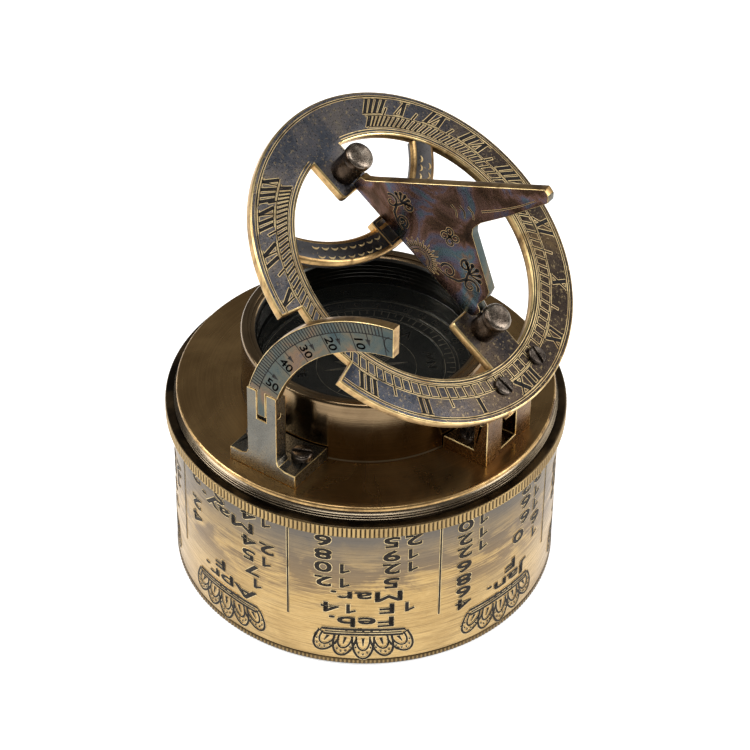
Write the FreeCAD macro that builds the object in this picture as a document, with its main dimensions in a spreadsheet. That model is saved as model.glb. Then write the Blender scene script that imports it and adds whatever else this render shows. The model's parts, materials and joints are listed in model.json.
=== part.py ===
import FreeCAD, Part
import math
import os

import Sketcher
from FreeCAD import Placement, Rotation, Vector

# A folding brass sundial compass standing on its own upturned cover.
# Frame: origin at the centre of the cover's closed end, +Z up, +Y towards noon (the ring's hinge),
# +X towards the latitude post. Millimetres and degrees.

SIZES = {
    # cover, standing on its closed end
    "cover_radius": 48.9,
    "cover_wall": 2.0,
    "cover_height": 44.9,
    "cover_end_radius": 49.1,
    "cover_edge_height": 2.0,
    "cover_plug_height": 3.0,
    # base: knurled flange, thread and spigot
    "flange_radius": 50.8,
    "flange_height": 3.4,
    "spigot_clearance": 0.4,
    "spigot_height": 4.0,
    "base_bore": 41.5,
    "thread_root": 47.6,
    "thread_crest": 48.6,
    "thread_lead_in": 0.6,
    "thread_land": 1.1,
    "thread_gap": 0.3,
    # deck plate
    "deck_seat": 45.0,
    "deck_radius": 47.9,
    "deck_edge": 1.1,
    "deck_thickness": 3.4,
    "deck_top": 52.1,
    "deck_round": 0.7,
    # compass housing
    "housing_radius": 31.35,
    "housing_bore": 28.9,
    "housing_floor": 2.4,
    "housing_top": 70.2,
    "housing_bevel": 0.6,
    "sleeve_bore": 27.3,
    "sleeve_drop": 0.4,
    "dial_thickness": 2.0,
    "glass_level": 61.5,
    "glass_thickness": 1.6,
    # needle
    "needle_level": 58.2,
    "needle_thickness": 0.5,
    "needle_length": 21.5,
    "needle_half_width": 2.6,
    "cap_radius": 2.2,
    "cap_height": 1.8,
    "cap_bore": 1.0,
    "cap_bore_depth": 1.2,
    "pivot_radius": 0.6,
    "pivot_tip": 0.15,
    # feet of the two uprights
    "foot_half_width": 9.8,
    "foot_inner": 28.5,
    "foot_outer": 43.5,
    "foot_thickness": 3.8,
    "foot_hollow": 31.65,
    # latitude post
    "post_half_width": 4.3,
    "post_thickness": 4.0,
    "post_top": 77.7,
    "post_flare": 2.0,
    "prong_chamfer": 1.5,
    "slot_half_width": 1.4,
    "slot_bottom": 69.0,
    "arc_pin_height": 71.8,
    "arc_pin_radius": 0.75,
    "arc_pin_inset": 1.2,
    # latitude arc
    "arc_centre_y": 45.2,
    "arc_centre_z": 65.2,
    "arc_outer": 50.6,
    "arc_inner": 42.4,
    "arc_thickness": 2.4,
    "arc_shoulder": 78.0,
    "arc_end_y": 37.8,
    "tongue_half_width": 1.2,
    "tongue_end": 1.4,
    # hinge bracket
    "bracket_outer": 42.8,
    "bracket_wall": 3.8,
    "hinge_height": 65.5,
    "window_half_width": 3.1,
    "window_bottom": 53.7,
    "hinge_pin_radius": 0.9,
    # hour ring, in its own plane: reach from the hinge axis, rise of its top face above that axis
    "ring_tilt": 35.0,
    "ring_reach": 40.8,
    "ring_rise": 11.8,
    "ring_thickness": 2.4,
    "ring_outer": 44.4,
    "ring_inner": 32.6,
    "ring_round": 0.8,
    "notch_floor": 38.0,
    "notch_south": 12.5,
    "notch_north": 13.5,
    "arch_centre": 42.0,
    "arch_outer": 37.5,
    "arch_inner": 31.0,
    "arch_bevel": 1.1,
    "arch_drop": 0.3,
    "pad_half_width": 4.0,
    "pad_north": 5.2,
    "pad_south": 12.8,
    "pad_recess": 0.8,
    "pad_border": 0.9,
    "north_lug_half_width": 5.9,
    "north_lug_end": 17.9,
    "south_lug_half_width": 5.3,
    "south_lug_end": 21.2,
    "lug_round": 1.2,
    # hinge tongue under the ring
    "knuckle_radius": 3.0,
    "knuckle_half_width": 2.8,
    "tongue_pad_half_width": 9.6,
    "tongue_pad_half_depth": 3.2,
    "tongue_pad_thickness": 2.2,
    # pillars and gnomon
    "north_pillar": 24.1,
    "south_pillar": 26.4,
    "pillar_radius": 3.4,
    "pillar_head_radius": 3.65,
    "north_pillar_height": 8.2,
    "south_pillar_height": 9.2,
    "pillar_head_height": 2.6,
    "gnomon_axis": 3.0,
    "gnomon_thickness": 2.4,
    "gnomon_gap": 0.3,
    "gnomon_pin_radius": 0.7,
    "gnomon_pin_grip": 3.5,
    # screws
    "big_head_radius": 2.7,
    "big_head_height": 2.0,
    "ring_head_radius": 2.4,
    "ring_head_height": 1.1,
    "shank_radius": 1.2,
    "thread_clearance": 0.03,
    "running_clearance": 0.05,
    "slot_width": 0.7,
    "slot_depth": 0.7,
}

SHEET = "Sizes"
UP = Vector(0, 0, 1)


class Size:
    """A number together with the spreadsheet expression that gives it."""

    def __init__(self, value, text):
        self.value = value
        self.text = text

    def __add__(self, other):
        other = as_size(other)
        return Size(self.value + other.value, f"({self.text} + {other.text})")

    def __sub__(self, other):
        other = as_size(other)
        return Size(self.value - other.value, f"({self.text} - {other.text})")

    def __mul__(self, factor):
        return Size(self.value * factor, f"({self.text} * {factor})")

    def __neg__(self):
        return self * -1

    def turned(self, function, angle):
        """This length times the sine or cosine of an angle held in degrees."""
        ratio = getattr(math, function)(math.radians(angle.value))
        return Size(self.value * ratio, f"({self.text} * {function}({angle.text} * 1 deg))")


def as_size(number):
    return number if isinstance(number, Size) else Size(float(number), repr(float(number)))


class Sizes:
    """The named sizes, each bound to its cell of the spreadsheet."""

    def __init__(self, sheet, table):
        for row, (name, value) in enumerate(table.items(), start=1):
            sheet.set(f"A{row}", name)
            sheet.set(f"B{row}", repr(value))
            sheet.setAlias(f"B{row}", name)
            setattr(self, name, Size(value, f"{SHEET}.{name}"))


doc = FreeCAD.newDocument("SundialCompass")
sizes_sheet = doc.addObject("Spreadsheet::Sheet", SHEET)
size = Sizes(sizes_sheet, SIZES)
doc.recompute()

NODES = []


def part(label, feature):
    """Name a finished sub-part and list it for export."""
    feature.Label = label
    NODES.append(feature)
    return feature


def bind(feature, **values):
    for name, value in values.items():
        value = as_size(value)
        setattr(feature, name, value.value)
        feature.setExpression(name, value.text)
    return feature


def place(feature, at=(0, 0, 0), rotation=None):
    at = [as_size(value) for value in at]
    base = Vector(*[value.value for value in at])
    feature.Placement = Placement(base, rotation or Rotation())
    for axis, value in zip("xyz", at):
        feature.setExpression(f"Placement.Base.{axis}", value.text)
    return feature


def box(length, width, height, at=(0, 0, 0)):
    feature = bind(doc.addObject("Part::Box", "Box"), Length=length, Width=width, Height=height)
    return place(feature, at)


def block(x, y, z):
    """A box between two limits on each axis."""
    low = [as_size(limits[0]) for limits in (x, y, z)]
    high = [as_size(limits[1]) for limits in (x, y, z)]
    return box(high[0] - low[0], high[1] - low[1], high[2] - low[2], low)


def cylinder(radius, height, at=(0, 0, 0), axis=UP, angle=None, start=0.0):
    feature = bind(doc.addObject("Part::Cylinder", "Cylinder"), Radius=radius, Height=height)
    if angle is not None:
        bind(feature, Angle=angle)
    turn = Rotation(UP, axis) if axis is not UP else Rotation(UP, start)
    return place(feature, at, turn)


def cut(base, *tools):
    for tool in tools:
        feature = doc.addObject("Part::Cut", "Cut")
        feature.Base = base
        feature.Tool = tool
        base = feature
    return base


def fuse(*shapes):
    feature = doc.addObject("Part::MultiFuse", "Fuse")
    feature.Shapes = list(shapes)
    return feature


def common(first, second):
    feature = doc.addObject("Part::Common", "Common")
    feature.Base = first
    feature.Tool = second
    return feature


def group(*features):
    feature = doc.addObject("Part::Compound", "Group")
    feature.Links = list(features)
    return feature


def origin_plane(body, role):
    return next(item for item in body.Origin.OriginFeatures if item.Role == role)


def outline(body, role, points, offset=0):
    """A closed sketch through the given points, each pinned to the origin by two bound sizes."""
    sketch = body.newObject("Sketcher::SketchObject", "Outline")
    sketch.AttachmentSupport = [(origin_plane(body, role), "")]
    sketch.MapMode = "FlatFace"
    offset = as_size(offset)
    sketch.AttachmentOffset = Placement(Vector(0, 0, offset.value), Rotation())
    sketch.setExpression("AttachmentOffset.Base.z", offset.text)
    points = [(as_size(across), as_size(along)) for across, along in points]
    corners = [Vector(across.value, along.value, 0) for across, along in points]
    count = len(points)
    for index in range(count):
        sketch.addGeometry(Part.LineSegment(corners[index], corners[(index + 1) % count]), False)
    for index in range(count):
        following = (index + 1) % count
        sketch.addConstraint(Sketcher.Constraint("Coincident", index, 2, following, 1))
    for index, (across, along) in enumerate(points):
        pin(sketch, "DistanceX", index, across)
        pin(sketch, "DistanceY", index, along)
    return sketch


def pin(sketch, kind, index, distance):
    if distance.value == 0:
        axis = -2 if kind == "DistanceX" else -1
        sketch.addConstraint(Sketcher.Constraint("PointOnObject", index, 1, axis))
        return
    constraint = Sketcher.Constraint(kind, -1, 1, index, 1, distance.value)
    number = sketch.addConstraint(constraint)
    sketch.setExpression(f"Constraints[{number}]", distance.text)


def revolved(points):
    """A turned piece: (radius, height) points spun about Z."""
    body = doc.addObject("PartDesign::Body", "Turned")
    sketch = outline(body, "XZ_Plane", points)
    feature = body.newObject("PartDesign::Revolution", "Revolution")
    feature.Profile = sketch
    feature.ReferenceAxis = (sketch, ["V_Axis"])
    feature.Angle = 360
    body.Tip = feature
    return body


def padded(role, points, length, offset=0):
    """A plate of the given outline, grown along its plane's normal from the offset."""
    body = doc.addObject("PartDesign::Body", "Plate")
    sketch = outline(body, role, points, offset)
    feature = body.newObject("PartDesign::Pad", "Pad")
    feature.Profile = sketch
    bind(feature, Length=length)
    body.Tip = feature
    return body


def rounded(body, radius, test):
    """Fillet the edges of a body whose midpoints pass the test."""
    doc.recompute()
    base = body.Tip
    names = [
        f"Edge{number}"
        for number, edge in enumerate(base.Shape.Edges, start=1)
        if test(edge.valueAt((edge.FirstParameter + edge.LastParameter) / 2), edge)
    ]
    feature = body.newObject("PartDesign::Fillet", "Fillet")
    feature.Base = (base, names)
    bind(feature, Radius=radius)
    body.Tip = feature
    return body


def slotted_screw(head_radius, head_height, shank_length, at, rotation=None):
    """A slotted cheese-head screw standing on the point given, with its shank below it."""
    head_height = as_size(head_height)
    head = cylinder(head_radius, head_height)
    shank = cylinder(size.shank_radius, as_size(shank_length), (0, 0, -as_size(shank_length)))
    slot = block(
        (-head_radius - 1, head_radius + 1),
        (size.slot_width * -0.5, size.slot_width * 0.5),
        (head_height - size.slot_depth, head_height + 1),
    )
    return place(cut(fuse(head, shank), slot), at, rotation)


# ---------------------------------------------------------------- cover

def make_cover():
    inner = size.cover_radius - size.cover_wall
    part("cover_tube", revolved([
        (inner, size.cover_edge_height),
        (size.cover_radius, size.cover_edge_height),
        (size.cover_radius, size.cover_height),
        (inner, size.cover_height),
    ]))
    plug_top = size.cover_edge_height + size.cover_plug_height
    recess_radius = inner - 3
    part("cover_end", revolved([
        (0, 0),
        (size.cover_end_radius - 0.3, 0),
        (size.cover_end_radius, 0.3),
        (size.cover_end_radius, size.cover_edge_height),
        (inner, size.cover_edge_height),
        (inner, plug_top),
        (recess_radius, plug_top),
        (recess_radius, size.cover_edge_height + 0.5),
        (0, size.cover_edge_height + 0.5),
    ]))


# ---------------------------------------------------------------- base and deck

def make_base():
    bottom = size.cover_height
    flange_top = bottom + size.flange_height
    spigot = size.cover_radius - size.cover_wall - size.spigot_clearance
    ledge = size.deck_top - size.deck_thickness
    low_land = flange_top + size.thread_lead_in
    low_land_top = low_land + size.thread_land
    high_land = low_land_top + size.thread_gap
    rim_top = size.deck_top - size.deck_edge
    part("base_ring", revolved([
        (size.base_bore, bottom - size.spigot_height),
        (spigot, bottom - size.spigot_height),
        (spigot, bottom),
        (size.flange_radius - 0.3, bottom),
        (size.flange_radius, bottom + 0.3),
        (size.flange_radius, flange_top - 0.3),
        (size.flange_radius - 0.3, flange_top),
        (size.thread_root, flange_top),
        (size.thread_root, low_land - 0.3),
        (size.thread_crest, low_land),
        (size.thread_crest, low_land_top - 0.2),
        (size.thread_root, low_land_top),
        (size.thread_root, high_land - 0.1),
        (size.thread_crest - 0.1, high_land + 0.1),
        (size.thread_crest - 0.1, high_land + 0.4),
        (size.thread_root, rim_top),
        (size.deck_seat + size.thread_clearance, rim_top),
        (size.deck_seat + size.thread_clearance, ledge),
        (size.base_bore, ledge),
    ]))

    deck = revolved([
        (0, ledge),
        (size.deck_seat, ledge),
        (size.deck_seat, rim_top),
        (size.deck_radius, rim_top),
        (size.deck_radius, size.deck_top - size.deck_round),
        (size.deck_radius - size.deck_round, size.deck_top),
        (0, size.deck_top),
    ])
    hole = size.shank_radius + size.thread_clearance
    holes = [
        cylinder(hole, size.deck_thickness - 0.6, (x, y, size.deck_top - size.deck_thickness + 0.6))
        for x, y in foot_screw_places()
    ]
    through = [
        cylinder(size.shank_radius + 0.3, size.deck_thickness + 1, (x, y, ledge - 0.5))
        for x, y in housing_screw_places()
    ]
    part("deck_plate", cut(deck, *holes, *through))


def foot_screw_places():
    """Two screws in the foot of the latitude post, two in the foot of the hinge bracket."""
    post_x = size.foot_outer - size.post_thickness - size.big_head_radius - 0.35
    bracket_y = size.bracket_outer - size.bracket_wall - size.big_head_radius - 0.6
    return [(post_x, 6.8), (post_x, -6.8), (6.4, bracket_y), (-6.4, bracket_y)]


def housing_screw_places():
    reach = 18.0
    angles = [math.radians(90 + 120 * turn) for turn in range(3)]
    return [(reach * math.cos(angle), reach * math.sin(angle)) for angle in angles]


# ---------------------------------------------------------------- compass

def make_housing():
    floor_top = size.deck_top + size.housing_floor
    housing = revolved([
        (0, size.deck_top),
        (size.housing_radius + 0.25, size.deck_top),
        (size.housing_radius + 0.25, size.deck_top + 0.3),
        (size.housing_radius, size.deck_top + 0.55),
        (size.housing_radius, size.housing_top - size.housing_bevel),
        (size.housing_radius - size.housing_bevel, size.housing_top),
        (size.housing_bore, size.housing_top),
        (size.housing_bore, floor_top),
        (0, floor_top),
    ])
    hole = size.shank_radius + size.thread_clearance
    holes = [
        cylinder(hole, size.housing_floor, (x, y, size.deck_top - 0.2))
        for x, y in housing_screw_places()
    ]
    part("compass_housing", cut(housing, *holes))

    facing_down = Rotation(Vector(1, 0, 0), 180)
    under_deck = size.deck_top - size.deck_thickness
    part("housing_screws", group(*[
        slotted_screw(size.big_head_radius, size.big_head_height, size.deck_thickness + 1.5,
                      (x, y, under_deck), facing_down)
        for x, y in housing_screw_places()
    ]))

    dial_top = floor_top + size.dial_thickness
    dial = revolved([
        (0, floor_top),
        (size.housing_bore - 0.05, floor_top),
        (size.housing_bore - 0.05, dial_top),
        (0, dial_top),
    ])
    pivot_hole = cylinder(size.pivot_radius, size.dial_thickness, (0, 0, dial_top - 1))
    part("compass_dial", cut(dial, pivot_hole))

    glass_top = size.glass_level + size.glass_thickness
    sleeve_outer = size.housing_bore - 0.05
    part("dial_sleeve", revolved([
        (size.sleeve_bore, dial_top),
        (sleeve_outer, dial_top),
        (sleeve_outer, size.glass_level),
        (size.sleeve_bore, size.glass_level),
    ]))
    part("compass_glass", revolved([
        (0, size.glass_level),
        (sleeve_outer, size.glass_level),
        (sleeve_outer, glass_top),
        (0, glass_top),
    ]))
    sleeve_top = size.housing_top - size.sleeve_drop
    part("glass_sleeve", revolved([
        (size.sleeve_bore, glass_top),
        (sleeve_outer, glass_top),
        (sleeve_outer, sleeve_top),
        (size.sleeve_bore + 0.5, sleeve_top),
        (size.sleeve_bore, sleeve_top - 0.5),
    ]))


def make_needle():
    dial_top = size.deck_top + size.housing_floor + size.dial_thickness
    bore_top = size.needle_level + size.cap_bore_depth
    tip = bore_top - 0.1
    part("needle_pivot", revolved([
        (0, dial_top - 1),
        (size.pivot_radius, dial_top - 1),
        (size.pivot_radius, size.needle_level - 0.3),
        (size.pivot_tip, tip),
        (0, tip),
    ]))
    part("needle_cap", revolved([
        (size.cap_bore, size.needle_level),
        (size.cap_radius, size.needle_level),
        (size.cap_radius, size.needle_level + size.cap_height - 0.5),
        (size.cap_radius - 0.6, size.needle_level + size.cap_height),
        (0, size.needle_level + size.cap_height),
        (0, bore_top + 0.15),
        (size.cap_bore * 0.5, bore_top + 0.15),
    ]))
    blade = padded("XY_Plane", [
        (0, size.needle_length),
        (-size.needle_half_width, 6),
        (-size.needle_half_width, -6),
        (0, -size.needle_length),
        (size.needle_half_width, -6),
        (size.needle_half_width, 6),
    ], size.needle_thickness, size.needle_level)
    hole = cylinder(size.cap_radius, size.needle_thickness + 1, (0, 0, size.needle_level - 0.5))
    part("compass_needle", cut(blade, hole))


# ---------------------------------------------------------------- latitude post and arc

def make_post():
    inner_face = size.foot_outer - size.post_thickness
    foot_top = size.deck_top + size.foot_thickness
    foot = block((size.foot_inner, size.foot_outer),
                 (-size.foot_half_width, size.foot_half_width),
                 (size.deck_top, foot_top))
    upright = padded("YZ_Plane", [
        (-size.post_half_width - size.post_flare, foot_top),
        (size.post_half_width + size.post_flare, foot_top),
        (size.post_half_width + size.post_flare * 0.3, foot_top + size.post_flare * 0.3),
        (size.post_half_width, foot_top + size.post_flare),
        (size.post_half_width, size.post_top),
        (-size.post_half_width, size.post_top),
        (-size.post_half_width, foot_top + size.post_flare),
        (-size.post_half_width - size.post_flare * 0.3, foot_top + size.post_flare * 0.3),
    ], size.post_thickness, inner_face)
    hollow = cylinder(size.foot_hollow, size.foot_thickness + 1, (0, 0, size.deck_top - 0.5))
    slot = block((inner_face - 1, size.foot_outer + 1),
                 (-size.slot_half_width, size.slot_half_width),
                 (size.slot_bottom, size.post_top + 1))
    chamfer = padded("XZ_Plane", [
        (inner_face - 0.1, size.post_top - size.prong_chamfer),
        (inner_face - 0.1, size.post_top + 0.1),
        (inner_face + size.prong_chamfer, size.post_top + 0.1),
        (inner_face, size.post_top - size.prong_chamfer),
    ], size.post_half_width * 2 + 1, -size.post_half_width - 0.5)
    pin_x = size.foot_outer - size.arc_pin_inset
    pin_hole = cylinder(size.arc_pin_radius, size.post_half_width * 2 + 2,
                        (pin_x, -size.post_half_width - 1, size.arc_pin_height), Vector(0, 1, 0))
    screw_holes = [
        cylinder(size.shank_radius + 0.2, size.foot_thickness + 1, (x, y, size.deck_top - 0.5))
        for x, y in foot_screw_places()[:2]
    ]
    part("latitude_post", cut(fuse(foot, upright), hollow, slot, chamfer, pin_hole, *screw_holes))
    part("post_screws", group(*[
        slotted_screw(size.big_head_radius, size.big_head_height,
                      size.foot_thickness + size.deck_thickness - 0.8, (x, y, foot_top), turn)
        for (x, y), turn in zip(foot_screw_places()[:2], (Rotation(UP, 115), Rotation(UP, 40)))
    ]))
    part("arc_pin", cylinder(size.arc_pin_radius, size.post_half_width * 2,
                             (pin_x, -size.post_half_width, size.arc_pin_height), Vector(0, 1, 0)))


def make_arc():
    outer_face = size.foot_outer
    inner_face = outer_face - size.arc_thickness
    along_x = Vector(1, 0, 0)
    centre = (inner_face, size.arc_centre_y, size.arc_centre_z)
    disc = cylinder(size.arc_outer, size.arc_thickness, centre, along_x)
    hole = cylinder(size.arc_inner, size.arc_thickness + 2,
                    (inner_face - 1, size.arc_centre_y, size.arc_centre_z), along_x)
    window = block((inner_face - 1, outer_face + 1),
                   (size.arc_centre_y - size.arc_outer - 1, size.arc_end_y),
                   (size.arc_shoulder, size.arc_centre_z + size.arc_outer + 1))
    blade = common(cut(disc, hole), window)
    tongue = block((inner_face, outer_face),
                   (-size.tongue_half_width, size.tongue_half_width),
                   (size.arc_pin_height - size.tongue_end, size.arc_shoulder + 0.5))
    pin_x = outer_face - size.arc_pin_inset
    bore = cylinder(size.arc_pin_radius + size.running_clearance, size.post_half_width * 2,
                    (pin_x, -size.post_half_width, size.arc_pin_height), Vector(0, 1, 0))
    part("latitude_arc", cut(fuse(blade, tongue), bore))


# ---------------------------------------------------------------- hinge bracket

def make_bracket():
    foot_top = size.deck_top + size.foot_thickness
    inner_face = size.bracket_outer - size.bracket_wall
    hinge_y = size.bracket_outer - size.bracket_wall * 0.5
    width = size.foot_half_width * 2
    along_x = Vector(1, 0, 0)
    foot = block((-size.foot_half_width, size.foot_half_width),
                 (size.foot_inner, size.bracket_outer),
                 (size.deck_top, foot_top))
    wall = block((-size.foot_half_width, size.foot_half_width),
                 (inner_face, size.bracket_outer),
                 (size.deck_top, size.hinge_height))
    crown = cylinder(size.bracket_wall * 0.5, width,
                     (-size.foot_half_width, hinge_y, size.hinge_height), along_x)
    hollow = cylinder(size.foot_hollow, size.foot_thickness + 1, (0, 0, size.deck_top - 0.5))
    window = block((-size.window_half_width, size.window_half_width),
                   (inner_face - 2, size.bracket_outer + 1),
                   (size.window_bottom, size.hinge_height + size.bracket_wall))
    pin_hole = cylinder(size.hinge_pin_radius, width + 2,
                        (-size.foot_half_width - 1, hinge_y, size.hinge_height), along_x)
    screw_holes = [
        cylinder(size.shank_radius + 0.2, size.foot_thickness + 1, (x, y, size.deck_top - 0.5))
        for x, y in foot_screw_places()[2:]
    ]
    part("hinge_bracket", cut(fuse(foot, wall, crown), hollow, window, pin_hole, *screw_holes))
    part("bracket_screws", group(*[
        slotted_screw(size.big_head_radius, size.big_head_height,
                      size.foot_thickness + size.deck_thickness - 0.8, (x, y, foot_top), turn)
        for (x, y), turn in zip(foot_screw_places()[2:], (Rotation(UP, 20), Rotation(UP, 75)))
    ]))
    part("hinge_pin", cylinder(size.hinge_pin_radius, width,
                               (-size.foot_half_width, hinge_y, size.hinge_height), along_x))


# ---------------------------------------------------------------- hour ring group
# These pieces are drawn lying flat, with the origin at the ring's centre on its top face and +Y
# towards the hinge, and are then tilted together about the hinge pin.

def tilted(feature):
    hinge_y = size.bracket_outer - size.bracket_wall * 0.5
    reach, rise, tilt = size.ring_reach, size.ring_rise, size.ring_tilt
    y = hinge_y - reach.turned("cos", tilt) + rise.turned("sin", tilt)
    z = size.hinge_height + reach.turned("sin", tilt) + rise.turned("cos", tilt)
    return place(feature, (0, y, z), Rotation(Vector(1, 0, 0), -tilt.value))


def make_ring():
    under = -size.ring_thickness
    outer, inner, soft = size.ring_outer, size.ring_inner, size.ring_round
    annulus = revolved([
        (inner, under),
        (outer - soft * 0.5, under),
        (outer, under + soft),
        (outer, -soft),
        (outer - soft * 0.4, -soft * 0.4),
        (outer - soft, 0),
        (inner + 0.3, 0),
        (inner, -0.3),
    ])
    deep = (under - 1, 1)
    sector = cylinder(outer + 5, size.ring_thickness + 2, (0, 0, deep[0]),
                      angle=size.notch_south + size.notch_north, start=-size.notch_south.value)
    core = cylinder(size.notch_floor, size.ring_thickness + 4, (0, 0, under - 2))
    notched = cut(annulus, cut(sector, core))

    shoulder = -size.arch_drop - size.arch_bevel * 0.8
    arch_band = place(revolved([
        (size.arch_inner, under),
        (size.arch_outer, under),
        (size.arch_outer, shoulder),
        (size.arch_outer - size.arch_bevel, -size.arch_drop),
        (size.arch_inner + size.arch_bevel, -size.arch_drop),
        (size.arch_inner, shoulder),
    ]), (0, -size.arch_centre, 0))
    arch = common(arch_band, cylinder(inner + 0.6, size.ring_thickness, (0, 0, under)))
    pad = block((-size.pad_half_width, size.pad_half_width), (-size.pad_south, -size.pad_north), (under, 0))
    recess = block((-size.pad_half_width + size.pad_border, size.pad_half_width - size.pad_border),
                   (-size.pad_south + size.pad_border, -size.pad_north - size.pad_border),
                   (-size.pad_recess, 1))
    north_lug = lug(size.north_lug_half_width, size.north_lug_end, inner + 0.6)
    south_lug = lug(size.south_lug_half_width, -size.south_lug_end, -inner - 0.6)
    hole = size.shank_radius + 0.2
    holes = [
        cylinder(hole, size.ring_thickness + 2, (x, y, under - 1))
        for x, y in ring_screw_places() + pillar_places()
    ]
    ring = cut(fuse(notched, arch, pad, north_lug, south_lug), recess, *holes)
    part("hour_ring", tilted(ring))


def lug(half_width, end, root):
    """A rectangular lug that runs in from the ring, with its two free corners rounded."""
    body = padded("XY_Plane", [
        (-half_width, end),
        (-half_width, root),
        (half_width, root),
        (half_width, end),
    ], size.ring_thickness, -size.ring_thickness)

    def free_corner(point, edge):
        upright = abs(edge.tangentAt(edge.FirstParameter).z) > 0.9
        return upright and abs(point.y - end.value) < 0.01

    return rounded(body, size.lug_round, free_corner)


def ring_screw_places():
    """The two screws at noon stand over the hinge axis."""
    return [(7.1, size.ring_reach - 3.4), (-7.1, size.ring_reach - 3.4)]


def pillar_places():
    return [(0, size.north_pillar), (0, -size.south_pillar)]


def make_tongue():
    axis_y = size.ring_reach
    axis_z = -size.ring_rise
    under = -size.ring_thickness
    pad_bottom = under - size.tongue_pad_thickness
    half = size.knuckle_half_width
    knuckle = cylinder(size.knuckle_radius, half * 2, (-half, axis_y, axis_z), Vector(1, 0, 0))
    neck = block((-half, half),
                 (axis_y - size.knuckle_radius, axis_y + size.knuckle_radius),
                 (axis_z, pad_bottom + 0.5))
    screw_y = ring_screw_places()[0][1]
    pad = block((-size.tongue_pad_half_width, size.tongue_pad_half_width),
                (screw_y - size.tongue_pad_half_depth, axis_y + size.tongue_pad_half_depth - 0.2),
                (pad_bottom, under))
    bore = cylinder(size.hinge_pin_radius + size.running_clearance, half * 2 + 2,
                    (-half - 1, axis_y, axis_z), Vector(1, 0, 0))
    holes = [
        cylinder(size.shank_radius + size.thread_clearance, size.tongue_pad_thickness + 2, (x, y, pad_bottom - 1))
        for x, y in ring_screw_places()
    ]
    part("hinge_tongue", tilted(cut(fuse(knuckle, neck, pad), bore, *holes)))
    shank = size.ring_thickness + size.tongue_pad_thickness
    screws = [
        slotted_screw(size.ring_head_radius, size.ring_head_height, shank, (x, y, 0), turn)
        for (x, y), turn in zip(ring_screw_places(), (Rotation(UP, 95), Rotation(UP, 78)))
    ]
    part("ring_screws", tilted(group(*screws)))


def make_pillars():
    radius, head = size.pillar_radius, size.pillar_head_radius
    blind = 2.9
    for label, place_y, height, side in (
        ("north_pillar", size.north_pillar, size.north_pillar_height, -1),
        ("south_pillar", -size.south_pillar, size.south_pillar_height, 1),
    ):
        neck = height - size.pillar_head_height
        body = revolved([
            (0, 0),
            (radius, 0),
            (radius, neck - 1.2),
            (radius - 0.25, neck - 0.4),
            (head, neck),
            (head, height - 1.0),
            (head - 0.35, height - 0.45),
            (head - 1.1, height - 0.12),
            (0, height),
        ])
        tapped = cylinder(size.shank_radius + size.thread_clearance, blind, (0, 0, -1))
        pin_hole = cylinder(size.gnomon_pin_radius, radius + 1, (0, 0, size.gnomon_axis),
                            Vector(0, side, 0))
        pillar = place(cut(body, tapped, pin_hole), (0, place_y, 0))
        part(label, tilted(group(pillar)))
    under = -size.ring_thickness
    screws = [
        slotted_screw(size.big_head_radius, 1.8, size.ring_thickness + 1.8, (x, y, under),
                      Rotation(Vector(1, 0, 0), 180))
        for x, y in pillar_places()
    ]
    part("pillar_screws", tilted(group(*screws)))


def make_gnomon():
    half = size.gnomon_thickness * 0.5
    south = -size.south_pillar + size.pillar_radius + size.gnomon_gap
    north = size.north_pillar - size.pillar_radius - size.gnomon_gap
    foot = size.gnomon_axis - 2.3
    plate = padded("YZ_Plane", [
        (south, foot + 0.6),
        (south + 0.6, foot),
        (north - 2.6, foot),
        (north - 0.5, foot + 1.0),
        (north, foot + 2.4),
        (north, foot + 4.4),
        (north - 1.7, foot + 5.4),
        (18.9, 9.8),
        (18.3, 12.1),
        (5.4, 21.0),
        (4.4, 22.6),
        (4.7, 25.8),
        (7.7, 34.3),
        (11.5, 47.2),
        (10.5, 48.7),
        (8.6, 49.2),
        (-20.4, 6.4),
        (-21.4, 5.2),
        (south, foot + 4.2),
    ], size.gnomon_thickness, -half)
    bore = size.gnomon_pin_radius + size.running_clearance
    grip = size.gnomon_pin_grip + 0.2
    south_bore = cylinder(bore, grip, (0, south, size.gnomon_axis), Vector(0, 1, 0))
    north_bore = cylinder(bore, grip, (0, north, size.gnomon_axis), Vector(0, -1, 0))
    part("gnomon", tilted(cut(plate, south_bore, north_bore)))
    length = size.pillar_radius + size.gnomon_gap + size.gnomon_pin_grip - 0.1
    south_pin = cylinder(size.gnomon_pin_radius, length, (0, -size.south_pillar, size.gnomon_axis),
                         Vector(0, 1, 0))
    north_pin = cylinder(size.gnomon_pin_radius, length, (0, size.north_pillar, size.gnomon_axis),
                         Vector(0, -1, 0))
    part("gnomon_pins", tilted(group(south_pin, north_pin)))


# ---------------------------------------------------------------- build, check and export

def check(feature):
    problems = [state for state in feature.State if state in ("Invalid", "Error")]
    if problems:
        raise RuntimeError(f"{feature.Label}: {problems}")


def export_all():
    doc.recompute()
    for feature in doc.Objects:
        check(feature)
    os.makedirs("parts", exist_ok=True)
    for feature in NODES:
        shape = feature.Shape
        if shape.isNull() or not shape.isValid():
            raise RuntimeError(f"{feature.Label}: bad shape")
        shape.exportStep(f"parts/{feature.Label}.step")
        bounds = shape.BoundBox
        print(f"{feature.Label:16s} solids {len(shape.Solids)} volume {shape.Volume:10.2f} "
              f"x {bounds.XMin:7.2f} {bounds.XMax:7.2f} y {bounds.YMin:7.2f} {bounds.YMax:7.2f} "
              f"z {bounds.ZMin:7.2f} {bounds.ZMax:7.2f}")


make_cover()
make_base()
make_housing()
make_needle()
make_post()
make_arc()
make_bracket()
make_ring()
make_tongue()
make_pillars()
make_gnomon()
export_all()
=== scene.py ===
import json
import math

import bmesh
import bpy
from mathutils import Matrix, Vector


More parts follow.
